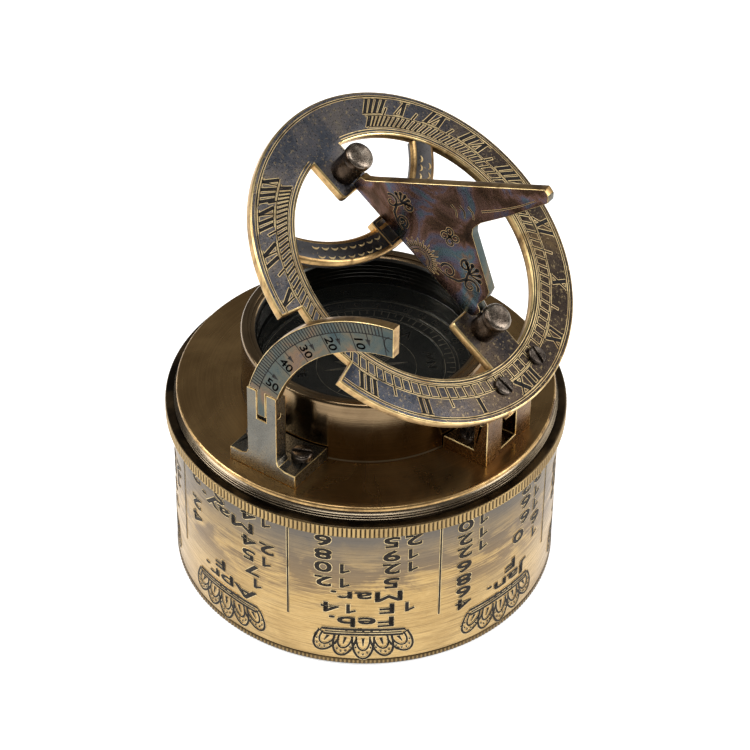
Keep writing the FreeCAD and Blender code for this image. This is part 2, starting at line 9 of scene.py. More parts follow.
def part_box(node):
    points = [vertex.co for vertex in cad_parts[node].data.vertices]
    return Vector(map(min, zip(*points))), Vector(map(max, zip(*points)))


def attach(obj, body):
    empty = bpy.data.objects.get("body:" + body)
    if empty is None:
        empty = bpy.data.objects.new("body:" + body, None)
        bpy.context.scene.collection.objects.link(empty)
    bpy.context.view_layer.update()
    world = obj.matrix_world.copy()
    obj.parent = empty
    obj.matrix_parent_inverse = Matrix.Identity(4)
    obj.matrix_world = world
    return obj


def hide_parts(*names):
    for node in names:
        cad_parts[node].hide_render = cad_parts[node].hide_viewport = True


# Looks for the folding sundial compass. Meshes are drawn in millimetres and scaled to metres.

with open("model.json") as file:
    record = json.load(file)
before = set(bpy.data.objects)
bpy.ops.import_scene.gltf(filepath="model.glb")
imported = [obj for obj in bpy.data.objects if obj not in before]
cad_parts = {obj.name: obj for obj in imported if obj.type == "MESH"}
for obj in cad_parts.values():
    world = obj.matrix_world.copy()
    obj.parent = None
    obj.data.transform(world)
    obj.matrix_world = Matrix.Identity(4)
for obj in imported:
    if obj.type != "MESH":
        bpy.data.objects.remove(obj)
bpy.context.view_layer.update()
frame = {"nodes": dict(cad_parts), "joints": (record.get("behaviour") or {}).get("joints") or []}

MM = 0.001
SEGMENTS = 240
KNURLS = 286
KNURL_DEEP = 0.34


# ------------------------------------------------------------------ places taken from the frame

def low(node):
    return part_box(node)[0] / MM


def high(node):
    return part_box(node)[1] / MM


JOINTS = {joint["name"]: joint for joint in frame["joints"]}
FOLD = Vector(JOINTS["gnomon_fold"]["pos_m"]) / MM
SOUTHWARD = Vector(JOINTS["gnomon_fold"]["axis"])
RING_UP = Vector((1, 0, 0)).cross(-SOUTHWARD)
GNOMON_RISE = 3.0
RING_CENTRE = FOLD - RING_UP * GNOMON_RISE
# local frame of the ring: x east, y towards the hinge, z up out of its face
RING = Matrix((
    (1, 0, 0, RING_CENTRE.x),
    (0, -SOUTHWARD.y, RING_UP.y, RING_CENTRE.y),
    (0, -SOUTHWARD.z, RING_UP.z, RING_CENTRE.z),
    (0, 0, 0, 1),
))
# upright plates: local x runs along +Y or +X of the frame, local y is up
PLATE_EAST = Matrix(((0, 0, 1, 0), (1, 0, 0, 0), (0, 1, 0, 0), (0, 0, 0, 1)))
IDENTITY = Matrix.Identity(4)


# ------------------------------------------------------------------ node helpers for materials

class Nodes:
    """A short way to write a material's node tree."""

    def __init__(self, name):
        self.material = bpy.data.materials.new(name)
        self.material.use_nodes = True
        self.tree = self.material.node_tree
        self.tree.nodes.clear()
        self.shader = self.add("ShaderNodeBsdfPrincipled")
        output = self.add("ShaderNodeOutputMaterial")
        self.link(self.shader.outputs[0], output.inputs["Surface"])
        self.where = self.add("ShaderNodeTexCoord").outputs["Object"]

    def add(self, kind, **settings):
        node = self.tree.nodes.new(kind)
        for name, value in settings.items():
            setattr(node, name, value)
        return node

    def link(self, source, target):
        self.tree.links.new(source, target)

    def plug(self, socket, value):
        if isinstance(value, bpy.types.NodeSocket):
            self.link(value, socket)
        else:
            socket.default_value = value

    def math(self, operation, first, second=0.0, clamp=False):
        node = self.add("ShaderNodeMath", operation=operation, use_clamp=clamp)
        self.plug(node.inputs[0], first)
        self.plug(node.inputs[1], second)
        return node.outputs[0]

    def times(self, first, second):
        return self.math("MULTIPLY", first, second)

    def plus(self, first, second):
        return self.math("ADD", first, second)

    def radius(self, x, y):
        """Distance from the axis."""
        return self.math("SQRT", self.plus(self.times(x, x), self.times(y, y)))

    def noise(self, scale, detail=4.0, rough=0.55, where=None, distort=0.0):
        node = self.add("ShaderNodeTexNoise")
        self.plug(node.inputs["Vector"], where or self.where)
        node.inputs["Scale"].default_value = scale
        node.inputs["Detail"].default_value = detail
        node.inputs["Roughness"].default_value = rough
        node.inputs["Distortion"].default_value = distort
        return node.outputs["Fac"]

    def split(self, vector=None):
        node = self.add("ShaderNodeSeparateXYZ")
        self.link(vector or self.where, node.inputs[0])
        return node.outputs

    def join(self, x, y, z):
        node = self.add("ShaderNodeCombineXYZ")
        for socket, value in zip(node.inputs, (x, y, z)):
            self.plug(socket, value)
        return node.outputs[0]

    def around(self, turn_scale, radius_scale, height_scale):
        """Coordinates that follow a turned piece: angle, distance from the axis, height."""
        x, y, z = self.split()
        angle = self.math("ARCTAN2", y, x)
        radius = self.radius(x, y)
        return self.join(
            self.times(angle, turn_scale),
            self.times(radius, radius_scale),
            self.times(z, height_scale),
        )

    def band(self, value, low_edge, high_edge, low_value=0.0, high_value=1.0):
        node = self.add("ShaderNodeMapRange")
        self.plug(node.inputs[0], value)
        for socket, number in zip(list(node.inputs)[1:5], (low_edge, high_edge, low_value, high_value)):
            socket.default_value = number
        return node.outputs[0]

    def mix(self, factor, first, second, blend="MIX"):
        node = self.add("ShaderNodeMix", data_type="RGBA", blend_type=blend)
        self.plug(node.inputs[0], factor)
        for socket, value in ((node.inputs[6], first), (node.inputs[7], second)):
            if isinstance(value, tuple):
                value = (*value, 1.0)
            self.plug(socket, value)
        return node.outputs[2]

    def ramp(self, value, stops):
        node = self.add("ShaderNodeValToRGB")
        self.link(value, node.inputs[0])
        ramp = node.color_ramp
        while len(ramp.elements) < len(stops):
            ramp.elements.new(0.5)
        for element, (place, colour) in zip(ramp.elements, stops):
            element.position = place
            element.color = (*colour, 1.0)
        return node.outputs["Color"]

    def bump(self, height, strength, distance=0.0001):
        node = self.add("ShaderNodeBump")
        node.inputs["Strength"].default_value = strength
        node.inputs["Distance"].default_value = distance
        self.link(height, node.inputs["Height"])
        self.link(node.outputs[0], self.shader.inputs["Normal"])

    def done(self, colour, rough, metal=1.0):
        self.plug(self.shader.inputs["Base Color"], (*colour, 1.0) if isinstance(colour, tuple) else colour)
        self.plug(self.shader.inputs["Roughness"], rough)
        self.shader.inputs["Metallic"].default_value = metal
        return self.material


def drum_brass():
    """Golden brass brushed around the drum, stained brown in patches, blue grey next to the flange, which is
    partly patina and partly painted shade and reflection under the flange.
    """
    n = Nodes("drum_brass")
    streaks = n.noise(1.0, 6.0, 0.62, n.around(4.0, 0.0, 2400.0))
    fine = n.noise(1.0, 3.0, 0.6, n.around(30.0, 0.0, 7000.0))
    clouds = n.noise(1.0, 5.0, 0.62, n.around(2.6, 0.0, 85.0), 0.7)
    small = n.noise(240.0, 4.0, 0.6, None, 0.8)
    height = n.split()[2]
    colour = n.mix(n.band(clouds, 0.40, 0.62), (0.43, 0.285, 0.115), (0.57, 0.395, 0.170))
    colour = n.mix(n.band(streaks, 0.46, 0.64, 0.0, 0.62), colour, (0.22, 0.14, 0.058))
    colour = n.mix(n.band(fine, 0.45, 0.75, 0.0, 0.30), colour, (0.70, 0.53, 0.27))
    middle = n.times(n.band(height, 0.014, 0.024), n.band(height, 0.042, 0.034))
    torn = n.plus(clouds, n.times(streaks, 0.35))
    stain = n.times(n.band(torn, 0.62, 0.74), middle)
    colour = n.mix(n.times(stain, 0.8), colour, (0.150, 0.104, 0.066))
    # partly patina, partly painted shade and reflection under the flange: blue grey towards the top of the
    # drum
    wave = n.plus(height, n.times(n.plus(clouds, small), 0.005))
    colour = n.mix(n.band(wave, 0.0320, 0.0470, 0.0, 0.92), colour, (0.105, 0.098, 0.092))
    rough = n.band(streaks, 0.3, 0.7, 0.24, 0.42)
    n.bump(n.plus(streaks, n.times(fine, 0.6)), 0.30, 0.00005)
    return n.done(colour, rough)


def knurl_brass(inner, outer):
    """Golden on the crests and painted shade dark in the grooves, told apart by distance from the axis."""
    n = Nodes("knurl_brass")
    x, y, z = n.split()
    radius = n.radius(x, y)
    patches = n.noise(90.0, 4.0)
    # painted shade: the colour darkens towards the roots of the knurl grooves
    colour = n.ramp(n.band(radius, inner, outer), [
        (0.0, (0.022, 0.016, 0.010)), (0.50, (0.10, 0.068, 0.032)), (0.95, (0.42, 0.29, 0.125)),
    ])
    colour = n.mix(n.band(patches, 0.45, 0.7, 0.0, 0.55), colour, (0.20, 0.13, 0.06))
    return n.done(colour, n.band(patches, 0.3, 0.7, 0.26, 0.45))


def spun_brass(name, dark, bright, rough_low, rough_high, rings=9000.0, wear=0.5):
    """Brass turned on a lathe: fine rings round the axis over brown clouds."""
    n = Nodes(name)
    rings_noise = n.noise(1.0, 3.0, 0.6, n.around(1.2, rings, rings * 0.5))
    clouds = n.noise(38.0, 5.0, 0.6, None, 0.8)
    small = n.noise(400.0, 3.0, 0.6)
    colour = n.ramp(clouds, [(0.30, dark), (0.72, bright)])
    colour = n.mix(n.band(rings_noise, 0.4, 0.7, 0.0, wear), colour, tuple(c * 1.35 for c in bright))
    colour = n.mix(n.band(small, 0.64, 0.80, 0.0, 0.35), colour, tuple(c * 0.5 for c in dark))
    n.bump(rings_noise, 0.20, 0.00004)
    return n.done(colour, n.band(clouds, 0.3, 0.7, rough_low, rough_high))


def patina(name, stops, speck, speck_amount, rough, scale=42.0, pits=1500.0):
    """Chemically darkened brass in clouds of colour, with bright specks where the patina is rubbed."""
    n = Nodes(name)
    clouds = n.noise(scale, 5.0, 0.62, None, 1.2)
    grain = n.noise(pits, 4.0, 0.7)
    dots = n.noise(pits * 0.45, 3.0, 0.65)
    colour = n.ramp(clouds, stops)
    colour = n.mix(n.band(dots, 0.60, 0.70, 0.0, speck_amount), colour, speck)
    colour = n.mix(n.band(grain, 0.30, 0.42, 0.8, 0.0), colour, (0.012, 0.011, 0.012))
    n.bump(n.plus(grain, dots), 0.5, 0.00008)
    return n.done(colour, n.band(grain, 0.3, 0.7, rough - 0.1, rough + 0.14))


def ring_patina():
    """The hour ring's face: blue grey on one side, brown-black with gold specks on the other."""
    n = Nodes("ring_patina")
    x, y, z = n.split()
    clouds = n.noise(48.0, 5.0, 0.62, None, 1.0)
    grain = n.noise(2600.0, 5.0, 0.75)
    dots = n.noise(1150.0, 4.0, 0.72)
    cool = n.ramp(clouds, [
        (0.28, (0.028, 0.034, 0.050)), (0.45, (0.074, 0.080, 0.098)),
        (0.58, (0.145, 0.134, 0.134)), (0.74, (0.230, 0.190, 0.145)),
    ])
    warm = n.ramp(clouds, [
        (0.30, (0.022, 0.017, 0.015)), (0.52, (0.066, 0.047, 0.035)), (0.72, (0.145, 0.095, 0.046)),
    ])
    slope = n.math("SUBTRACT", n.times(y, 0.75), n.times(x, 0.62))
    side = n.plus(slope, n.times(clouds, 0.030))
    colour = n.mix(n.band(side, 0.018, 0.048), cool, warm)
    colour = n.mix(n.band(dots, 0.56, 0.66, 0.0, 0.55), colour, (0.46, 0.34, 0.17))
    colour = n.mix(n.band(grain, 0.36, 0.46, 0.85, 0.0), colour, (0.014, 0.012, 0.013))
    n.bump(n.plus(grain, dots), 0.7, 0.00012)
    return n.done(colour, n.band(grain, 0.3, 0.7, 0.22, 0.44))


# bright brass for burrs and rounded edges; on rounded edges and sides its brightness is partly edge wear and
# partly painted highlight
def gold_edge(name="gold_edge", bright=(0.86, 0.64, 0.30), dark=(0.32, 0.20, 0.08), rough=0.24):
    n = Nodes(name)
    wear = n.noise(120.0, 5.0, 0.65, None, 1.0)
    fine = n.noise(1600.0, 3.0, 0.6)
    colour = n.ramp(wear, [(0.34, dark), (0.52, tuple(c * 0.8 for c in bright)), (0.66, bright)])
    colour = n.mix(n.band(fine, 0.55, 0.72, 0.0, 0.45), colour, dark)
    n.bump(fine, 0.3, 0.00006)
    return n.done(colour, n.band(wear, 0.3, 0.7, rough + 0.16, rough))


def fill_black(name="engraving_black", colour=(0.016, 0.014, 0.013)):
    n = Nodes(name)
    grain = n.noise(1400.0, 4.0, 0.7)
    shade = n.mix(n.band(grain, 0.5, 0.75), colour, tuple(c * 3.0 for c in colour))
    n.bump(grain, 0.5, 0.00008)
    n.shader.inputs["Specular IOR Level"].default_value = 0.15
    return n.done(shade, n.band(grain, 0.3, 0.7, 0.46, 0.66), 0.2)


def clear_glass():
    n = Nodes("compass_glass_clear")
    haze = n.noise(60.0, 3.0)
    n.shader.inputs["Alpha"].default_value = 0.12
    n.shader.inputs["IOR"].default_value = 1.5
    n.material.surface_render_method = "BLENDED"
    shade = n.mix(haze, (0.020, 0.022, 0.020), (0.030, 0.032, 0.030))
    return n.done(shade, n.band(haze, 0.3, 0.7, 0.02, 0.06), 0.0)


MAT = {
    "drum": drum_brass(),
    "deck": spun_brass("deck_bronze", (0.270, 0.155, 0.060), (0.52, 0.330, 0.138), 0.22, 0.34, wear=0.35),
    "housing": spun_brass("housing_bronze", (0.120, 0.078, 0.042), (0.30, 0.210, 0.115), 0.12, 0.20,
                          wear=0.35),
    "rim": spun_brass("housing_rim", (0.105, 0.066, 0.035), (0.30, 0.21, 0.115), 0.16, 0.26),
    # the thread's dark colour is painted shade and dark reflection in the band under the deck rim
    "thread": spun_brass("thread_dark", (0.070, 0.056, 0.042), (0.28, 0.22, 0.145), 0.20, 0.32),
    "inside": spun_brass("cover_inside", (0.20, 0.13, 0.06), (0.46, 0.32, 0.15), 0.34, 0.5),
    "well": spun_brass("well_black", (0.022, 0.022, 0.021), (0.080, 0.076, 0.066), 0.20, 0.32, 5000.0, 0.35),
    # the gold and brown edge colours on rounded edges and sides are partly rubbed brass and partly painted
    # highlight
    "gold": gold_edge(),
    "line_gold": gold_edge("engraving_gold", (0.98, 0.76, 0.40), (0.50, 0.34, 0.15), 0.44),
    "edge_wear_and_highlight": gold_edge("brown_edge_wear_and_highlight", (0.62, 0.40, 0.17), (0.14, 0.08, 0.035), 0.26),
    "black": fill_black(),
    "drum_black": fill_black("calendar_black", (0.020, 0.016, 0.012)),
    "burr": gold_edge("ornament_burr", (0.90, 0.62, 0.30), (0.36, 0.21, 0.10), 0.46),
    "halo": gold_edge("calendar_burr", (0.74, 0.58, 0.32), (0.36, 0.25, 0.12), 0.30),
    "dial_line": gold_edge("dial_line", (0.56, 0.50, 0.38), (0.22, 0.19, 0.14), 0.40),
    "dial": patina("dial_black", [
        (0.3, (0.040, 0.042, 0.038)), (0.7, (0.105, 0.098, 0.080)),
    ], (0.20, 0.17, 0.12), 0.2, 0.34, 60.0, 2600.0),
    "ring": ring_patina(),
    "arm": patina("arm_patina", [
        (0.3, (0.035, 0.035, 0.040)), (0.55, (0.10, 0.095, 0.095)), (0.75, (0.19, 0.16, 0.13)),
    ], (0.40, 0.29, 0.14), 0.45, 0.36),
    "arc": patina("arc_patina", [
        (0.28, (0.034, 0.055, 0.060)), (0.42, (0.062, 0.078, 0.072)), (0.53, (0.098, 0.093, 0.068)),
        (0.63, (0.160, 0.100, 0.060)), (0.75, (0.060, 0.070, 0.088)),
    ], (0.30, 0.20, 0.10), 0.12, 0.34, 70.0, 2600.0),
    "gnomon": patina("gnomon_patina", [
        (0.32, (0.014, 0.009, 0.006)), (0.44, (0.055, 0.030, 0.018)), (0.49, (0.110, 0.060, 0.046)),
        (0.54, (0.080, 0.072, 0.100)), (0.60, (0.055, 0.090, 0.102)), (0.70, (0.160, 0.078, 0.036)),
    ], (0.24, 0.13, 0.07), 0.15, 0.24, 55.0, 2600.0),
    "post": patina("post_patina", [
        (0.30, (0.085, 0.082, 0.070)), (0.50, (0.150, 0.143, 0.122)), (0.72, (0.220, 0.185, 0.125)),
    ], (0.34, 0.24, 0.12), 0.12, 0.28, 60.0, 2600.0),
    "bracket": patina("bracket_patina", [
        (0.30, (0.070, 0.036, 0.018)), (0.50, (0.17, 0.095, 0.045)), (0.72, (0.34, 0.22, 0.10)),
    ], (0.40, 0.26, 0.12), 0.2, 0.26, 80.0),
    "pillar": patina("pillar_bronze", [
        (0.30, (0.020, 0.013, 0.009)), (0.52, (0.060, 0.040, 0.026)), (0.74, (0.14, 0.10, 0.07)),
    ], (0.24, 0.18, 0.12), 0.2, 0.28, 160.0, 2200.0),
    # lighter colour for the domed tops of the pillars
    "pillar_top": patina("pillar_lighter_top", [
        (0.30, (0.070, 0.052, 0.040)), (0.52, (0.20, 0.160, 0.125)), (0.74, (0.42, 0.36, 0.29)),
    ], (0.46, 0.36, 0.24), 0.2, 0.26, 200.0, 2200.0),
    "screw": patina("screw_bronze", [
        (0.30, (0.035, 0.026, 0.020)), (0.52, (0.10, 0.080, 0.065)), (0.74, (0.24, 0.20, 0.16)),
    ], (0.32, 0.25, 0.18), 0.25, 0.28, 220.0, 2200.0),
    "needle": patina("needle_green", [
        (0.30, (0.085, 0.120, 0.100)), (0.70, (0.17, 0.21, 0.175)),
    ], (0.22, 0.22, 0.16), 0.2, 0.30, 90.0, 2600.0),
    "glass": clear_glass(),
}


# ------------------------------------------------------------------ mesh helpers

def soften(points, radius, steps=3):
    """Rounds the corners of a closed outline; a point may carry its own radius as a third number."""
    out = []
    count = len(points)
    for i, point in enumerate(points):
        own = point[2] if len(point) > 2 else radius
        here = Vector(point[:2])
        back = Vector(points[i - 1][:2]) - here
        ahead = Vector(points[(i + 1) % count][:2]) - here
        shortest = min(back.length, ahead.length)
        if own <= 0 or shortest < 1e-6 or back.angle(ahead) > math.radians(172):
            out.append((here.x, here.y))
            continue
        reach = min(own / math.tan(back.angle(ahead) / 2), shortest * 0.45)
        start = here + back.normalized() * reach
        end = here + ahead.normalized() * reach
        for k in range(steps + 1):
            t = k / steps
            q = start * (1 - t) ** 2 + here * 2 * t * (1 - t) + end * t * t
            out.append((q.x, q.y))
    return out


def piece(name, bm, body, mats, nodes=(), sharp=32.0):
    """Turns a bmesh drawn in millimetres into a finished piece that rides on a CAD body."""
    bmesh.ops.remove_doubles(bm, verts=bm.verts, dist=1e-5)
    bmesh.ops.recalc_face_normals(bm, faces=bm.faces)
    bmesh.ops.scale(bm, vec=(MM, MM, MM), verts=bm.verts)
    mesh = bpy.data.meshes.new(name)
    bm.to_mesh(mesh)
    bm.free()
    mesh.shade_smooth()
    mesh.set_sharp_from_angle(angle=math.radians(sharp))
    obj = bpy.data.objects.new(name, mesh)
    bpy.context.scene.collection.objects.link(obj)
    for key in mats:
        mesh.materials.append(MAT[key])
    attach(obj, body)
    if nodes:
        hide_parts(*nodes)
    return obj


def bridge(bm, row, following, mat=0):
    """Joins two closed rows of points with a band of faces."""
    for k in range(len(row)):
        t = (k + 1) % len(row)
        bm.faces.new((row[k], row[t], following[t], following[k])).material_index = mat


def inset(radius, height, steps):
    """Outline points given as distances in and down from a corner."""
    return [(radius - inward, height - down) for inward, down in steps]


def lathe(name, profile, body, mats, nodes=(), place=IDENTITY, paint=None,
          segments=SEGMENTS, teeth=None, sharp=32.0):
    """A turned piece from a closed outline of (radius, height); teeth cuts knurls into some rows."""
    bm = bmesh.new()
    rows = []
    for radius, height in profile:
        row = []
        for s in range(segments):
            turn = 2 * math.pi * s / segments
            r = radius + (teeth(radius, height, s) if teeth else 0.0)
            row.append(bm.verts.new(place @ Vector((r * math.cos(turn), r * math.sin(turn), height))))
        rows.append(row)
    for i, row in enumerate(rows):
        following = rows[(i + 1) % len(rows)]
        if profile[i][0] < 1e-6 and profile[(i + 1) % len(rows)][0] < 1e-6:
            continue
        mat = paint(profile[i], profile[(i + 1) % len(rows)]) if paint else 0
        bridge(bm, row, following, mat)
    return piece(name, bm, body, mats, nodes, sharp)


def plate_mesh(loops, thickness, bevel, steps=2):
    """A plate of the given outlines with rounded edges, centred on its own plane, in millimetres."""
    curve = bpy.data.curves.new("outline", "CURVE")
    curve.dimensions = "2D"
    curve.fill_mode = "BOTH"
    for loop in loops:
        spline = curve.splines.new("POLY")
        spline.points.add(len(loop) - 1)
        for point, (x, y) in zip(spline.points, loop):
            point.co = (x, y, 0, 1)
        spline.use_cyclic_u = True
    curve.extrude = thickness / 2 - bevel
    curve.bevel_depth = bevel
    curve.bevel_resolution = steps
    curve.offset = -bevel
    holder = bpy.data.objects.new("outline", curve)
    mesh = bpy.data.meshes.new_from_object(holder)
    bpy.data.objects.remove(holder)
    bpy.data.curves.remove(curve)
    return mesh


def plate(name, loops, thickness, bevel, place, body, mats, nodes=()):
    """mats: the two faces, the rounded edges, the straight sides."""
    mesh = plate_mesh(loops, thickness, bevel)
    bm = bmesh.new()
    bm.from_mesh(mesh)
    bpy.data.meshes.remove(mesh)
    bmesh.ops.remove_doubles(bm, verts=bm.verts, dist=1e-4)
    bm.normal_update()
    # the rounded edges and straight sides take the edge colours in mats; the gold and brown edge colours
    # there are partly painted highlight
    for face in bm.faces:
        tilt = abs(face.normal.z)
        face.material_index = 0 if tilt > 0.985 else (2 if tilt < 0.05 and len(mats) > 2 else 1)
    bmesh.ops.transform(bm, matrix=place, verts=bm.verts)
    return piece(name, bm, body, mats, nodes, 40.0)


def polar(radius, degrees, centre=(0, 0)):
    """The point at a distance and an angle in degrees from a centre."""
    turn = math.radians(degrees)
    return (centre[0] + radius * math.cos(turn), centre[1] + radius * math.sin(turn))


def arc(radius, start, end, count, centre=(0, 0)):
    """Points along an arc, angles in degrees."""
    return [polar(radius, start + (end - start) * k / count, centre) for k in range(count + 1)]


class Inlay:
    """Engraved marks: dark fills with a bright burr round them, a few hundredths proud of a face."""

    def __init__(self, mapping, burr=0.11, fill_top=0.05, burr_top=0.03, depth=-0.12):
        self.bm = bmesh.new()
        self.mapping = mapping
        self.burr = burr
        self.fill_top = fill_top
        self.burr_top = burr_top
        self.depth = depth

    def prism(self, points, top, mat):
        lower = [self.bm.verts.new(self.mapping(x, y, self.depth)) for x, y in points]
        upper = [self.bm.verts.new(self.mapping(x, y, top)) for x, y in points]
        faces = [self.bm.faces.new(upper), self.bm.faces.new(list(reversed(lower)))]
        for i in range(len(points)):
            j = (i + 1) % len(points)
            faces.append(self.bm.faces.new((lower[i], lower[j], upper[j], upper[i])))
        for face in faces:
            face.material_index = mat

    def stroke(self, a, b, width, end_width=None, burr=True):
        a, b = Vector(a), Vector(b)
        along = (b - a).normalized()
        side = Vector((-along.y, along.x))
        end_width = width if end_width is None else end_width

        def outline(grow):
            w0, w1 = width / 2 + grow, end_width / 2 + grow
            p, q = a - along * grow, b + along * grow
            return [tuple(p - side * w0), tuple(q - side * w1), tuple(q + side * w1), tuple(p + side * w0)]

        if burr and self.burr > 0:
            self.prism(outline(self.burr), self.burr_top, 1)
        self.prism(outline(0), self.fill_top, 0)

    def line(self, points, width, taper=None, burr=True):
        """A continuous stroke through the points, mitred, as one strip of short prisms."""
        points = [Vector(p) for p in points]
        sides = []
        for i, p in enumerate(points):
            before = points[max(i - 1, 0)]
            after = points[min(i + 1, len(points) - 1)]
            along = (after - before).normalized()
            sides.append(Vector((-along.y, along.x)))
        layers = [(0, self.fill_top, 0)]
        if burr and self.burr > 0:
            layers.insert(0, (self.burr, self.burr_top, 1))
        last = len(points) - 1
        for grow, top, mat in layers:
            for i in range(last):
                w0 = width * (taper(i / last) if taper else 1) / 2 + grow
                w1 = width * (taper((i + 1) / last) if taper else 1) / 2 + grow
                a, b = points[i], points[i + 1]
                self.prism([tuple(a - sides[i] * w0), tuple(b - sides[i + 1] * w1),
                            tuple(b + sides[i + 1] * w1), tuple(a + sides[i] * w0)], top, mat)

    def ring(self, radius, width, start, end, step=3.0, burr=True):
        count = max(2, int(abs(end - start) / step))
        self.line(arc(radius, start, end, count), width, burr=burr)

    def prism_ring(self, radius, width, start, end, step=3.0):
        """A bright line alone, without a dark fill."""
        count = max(2, int(abs(end - start) / step))
        inner = arc(radius - width / 2, start, end, count)
        outer = arc(radius + width / 2, start, end, count)
        for k in range(count):
            self.prism([inner[k], outer[k], outer[k + 1], inner[k + 1]], self.burr_top, 1)

    def dot(self, x, y, radius, count=12):
        if self.burr > 0:
            self.prism(arc(radius + self.burr, 0, 360 - 360 / count, count - 1, (x, y)), self.burr_top, 1)
        self.prism(arc(radius, 0, 360 - 360 / count, count - 1, (x, y)), self.fill_top, 0)

    def text(self, words, x, y, size, stretch=1.0, turn=0.0, weight=0.0, align="CENTER"):
        """Plain numerals or letters at a point, turned by an angle; shifted copies make them bold."""
        curve = bpy.data.curves.new("words", "FONT")
        curve.body = words
        curve.size = size
        curve.align_x = align
        curve.align_y = "CENTER"
        curve.resolution_u = 3
        curve.extrude = 0.5
        holder = bpy.data.objects.new("words", curve)
        mesh = bpy.data.meshes.new_from_object(holder)
        bpy.data.objects.remove(holder)
        bpy.data.curves.remove(curve)
        spin = Matrix.Rotation(math.radians(turn), 2)
        layers = [(weight, self.fill_top, 0)]
        if self.burr > 0:
            layers.insert(0, (weight + self.burr, self.burr_top, 1))
        for grow, top, mat in layers:
            corners = [(grow, grow), (-grow, grow), (-grow, -grow), (grow, -grow)]
            shifts = (corners if grow > 0 else []) + [(0, 0)]
            for right, up in shifts:
                verts = []
                for vertex in mesh.vertices:
                    flat = spin @ Vector((vertex.co.x * stretch + right, vertex.co.y + up))
                    height = top if vertex.co.z > 0 else self.depth
                    verts.append(self.bm.verts.new(self.mapping(x + flat.x, y + flat.y, height)))
                for polygon in mesh.polygons:
                    self.bm.faces.new([verts[i] for i in polygon.vertices]).material_index = mat
        bpy.data.meshes.remove(mesh)

    def finish(self, name, body, mats):
        return piece(name, self.bm, body, mats, (), 40.0)


def flat_on(place, lift=0.0):
    return lambda x, y, z: place @ Vector((x, y, z + lift))


# ------------------------------------------------------------------ cover

cover_r = high("cover_tube").x
cover_top = high("cover_tube").z
edge_top = low("cover_tube").z
WALL = 2.0
cover_inner = cover_r - WALL


def make_cover():
    lathe("cover_drum", soften([
        (cover_inner, edge_top), (cover_r, edge_top, 0.05),
        (cover_r, cover_top, 0.25), (cover_inner, cover_top, 0.25),
    ], 0.1), "cover", ["drum", "inside"], ["cover_tube"], segments=360,
        paint=lambda a, b: 1 if max(a[0], b[0]) < cover_inner + 0.1 else 0)

    end_r = high("cover_end").x
    plug_top = high("cover_end").z

    def teeth(radius, height, s):
        return -0.12 if radius > end_r - 0.08 and s % 4 in (0, 1) else 0.0

    plug_in = cover_inner - 3
    floor = edge_top + 0.5
    lathe("cover_end_disc", [
        (0.0, 0.0), (end_r - 0.45, 0.0), (end_r - 0.03, 0.45), (end_r, 0.9), (end_r, 1.3),
        (end_r - 0.03, 1.6), (end_r - 0.3, edge_top), (cover_inner, edge_top), (cover_inner, plug_top - 0.2),
        (cover_inner - 0.2, plug_top), (plug_in, plug_top), (plug_in, floor + 0.2), (plug_in - 0.2, floor),
        (0.0, floor),
    ], "cover", ["knurl_cover", "inside"], ["cover_end"], segments=KNURLS * 4, teeth=teeth,
        paint=lambda a, b: 1 if max(a[0], b[0]) < cover_inner + 0.1 and min(a[1], b[1]) > 1 else 0)


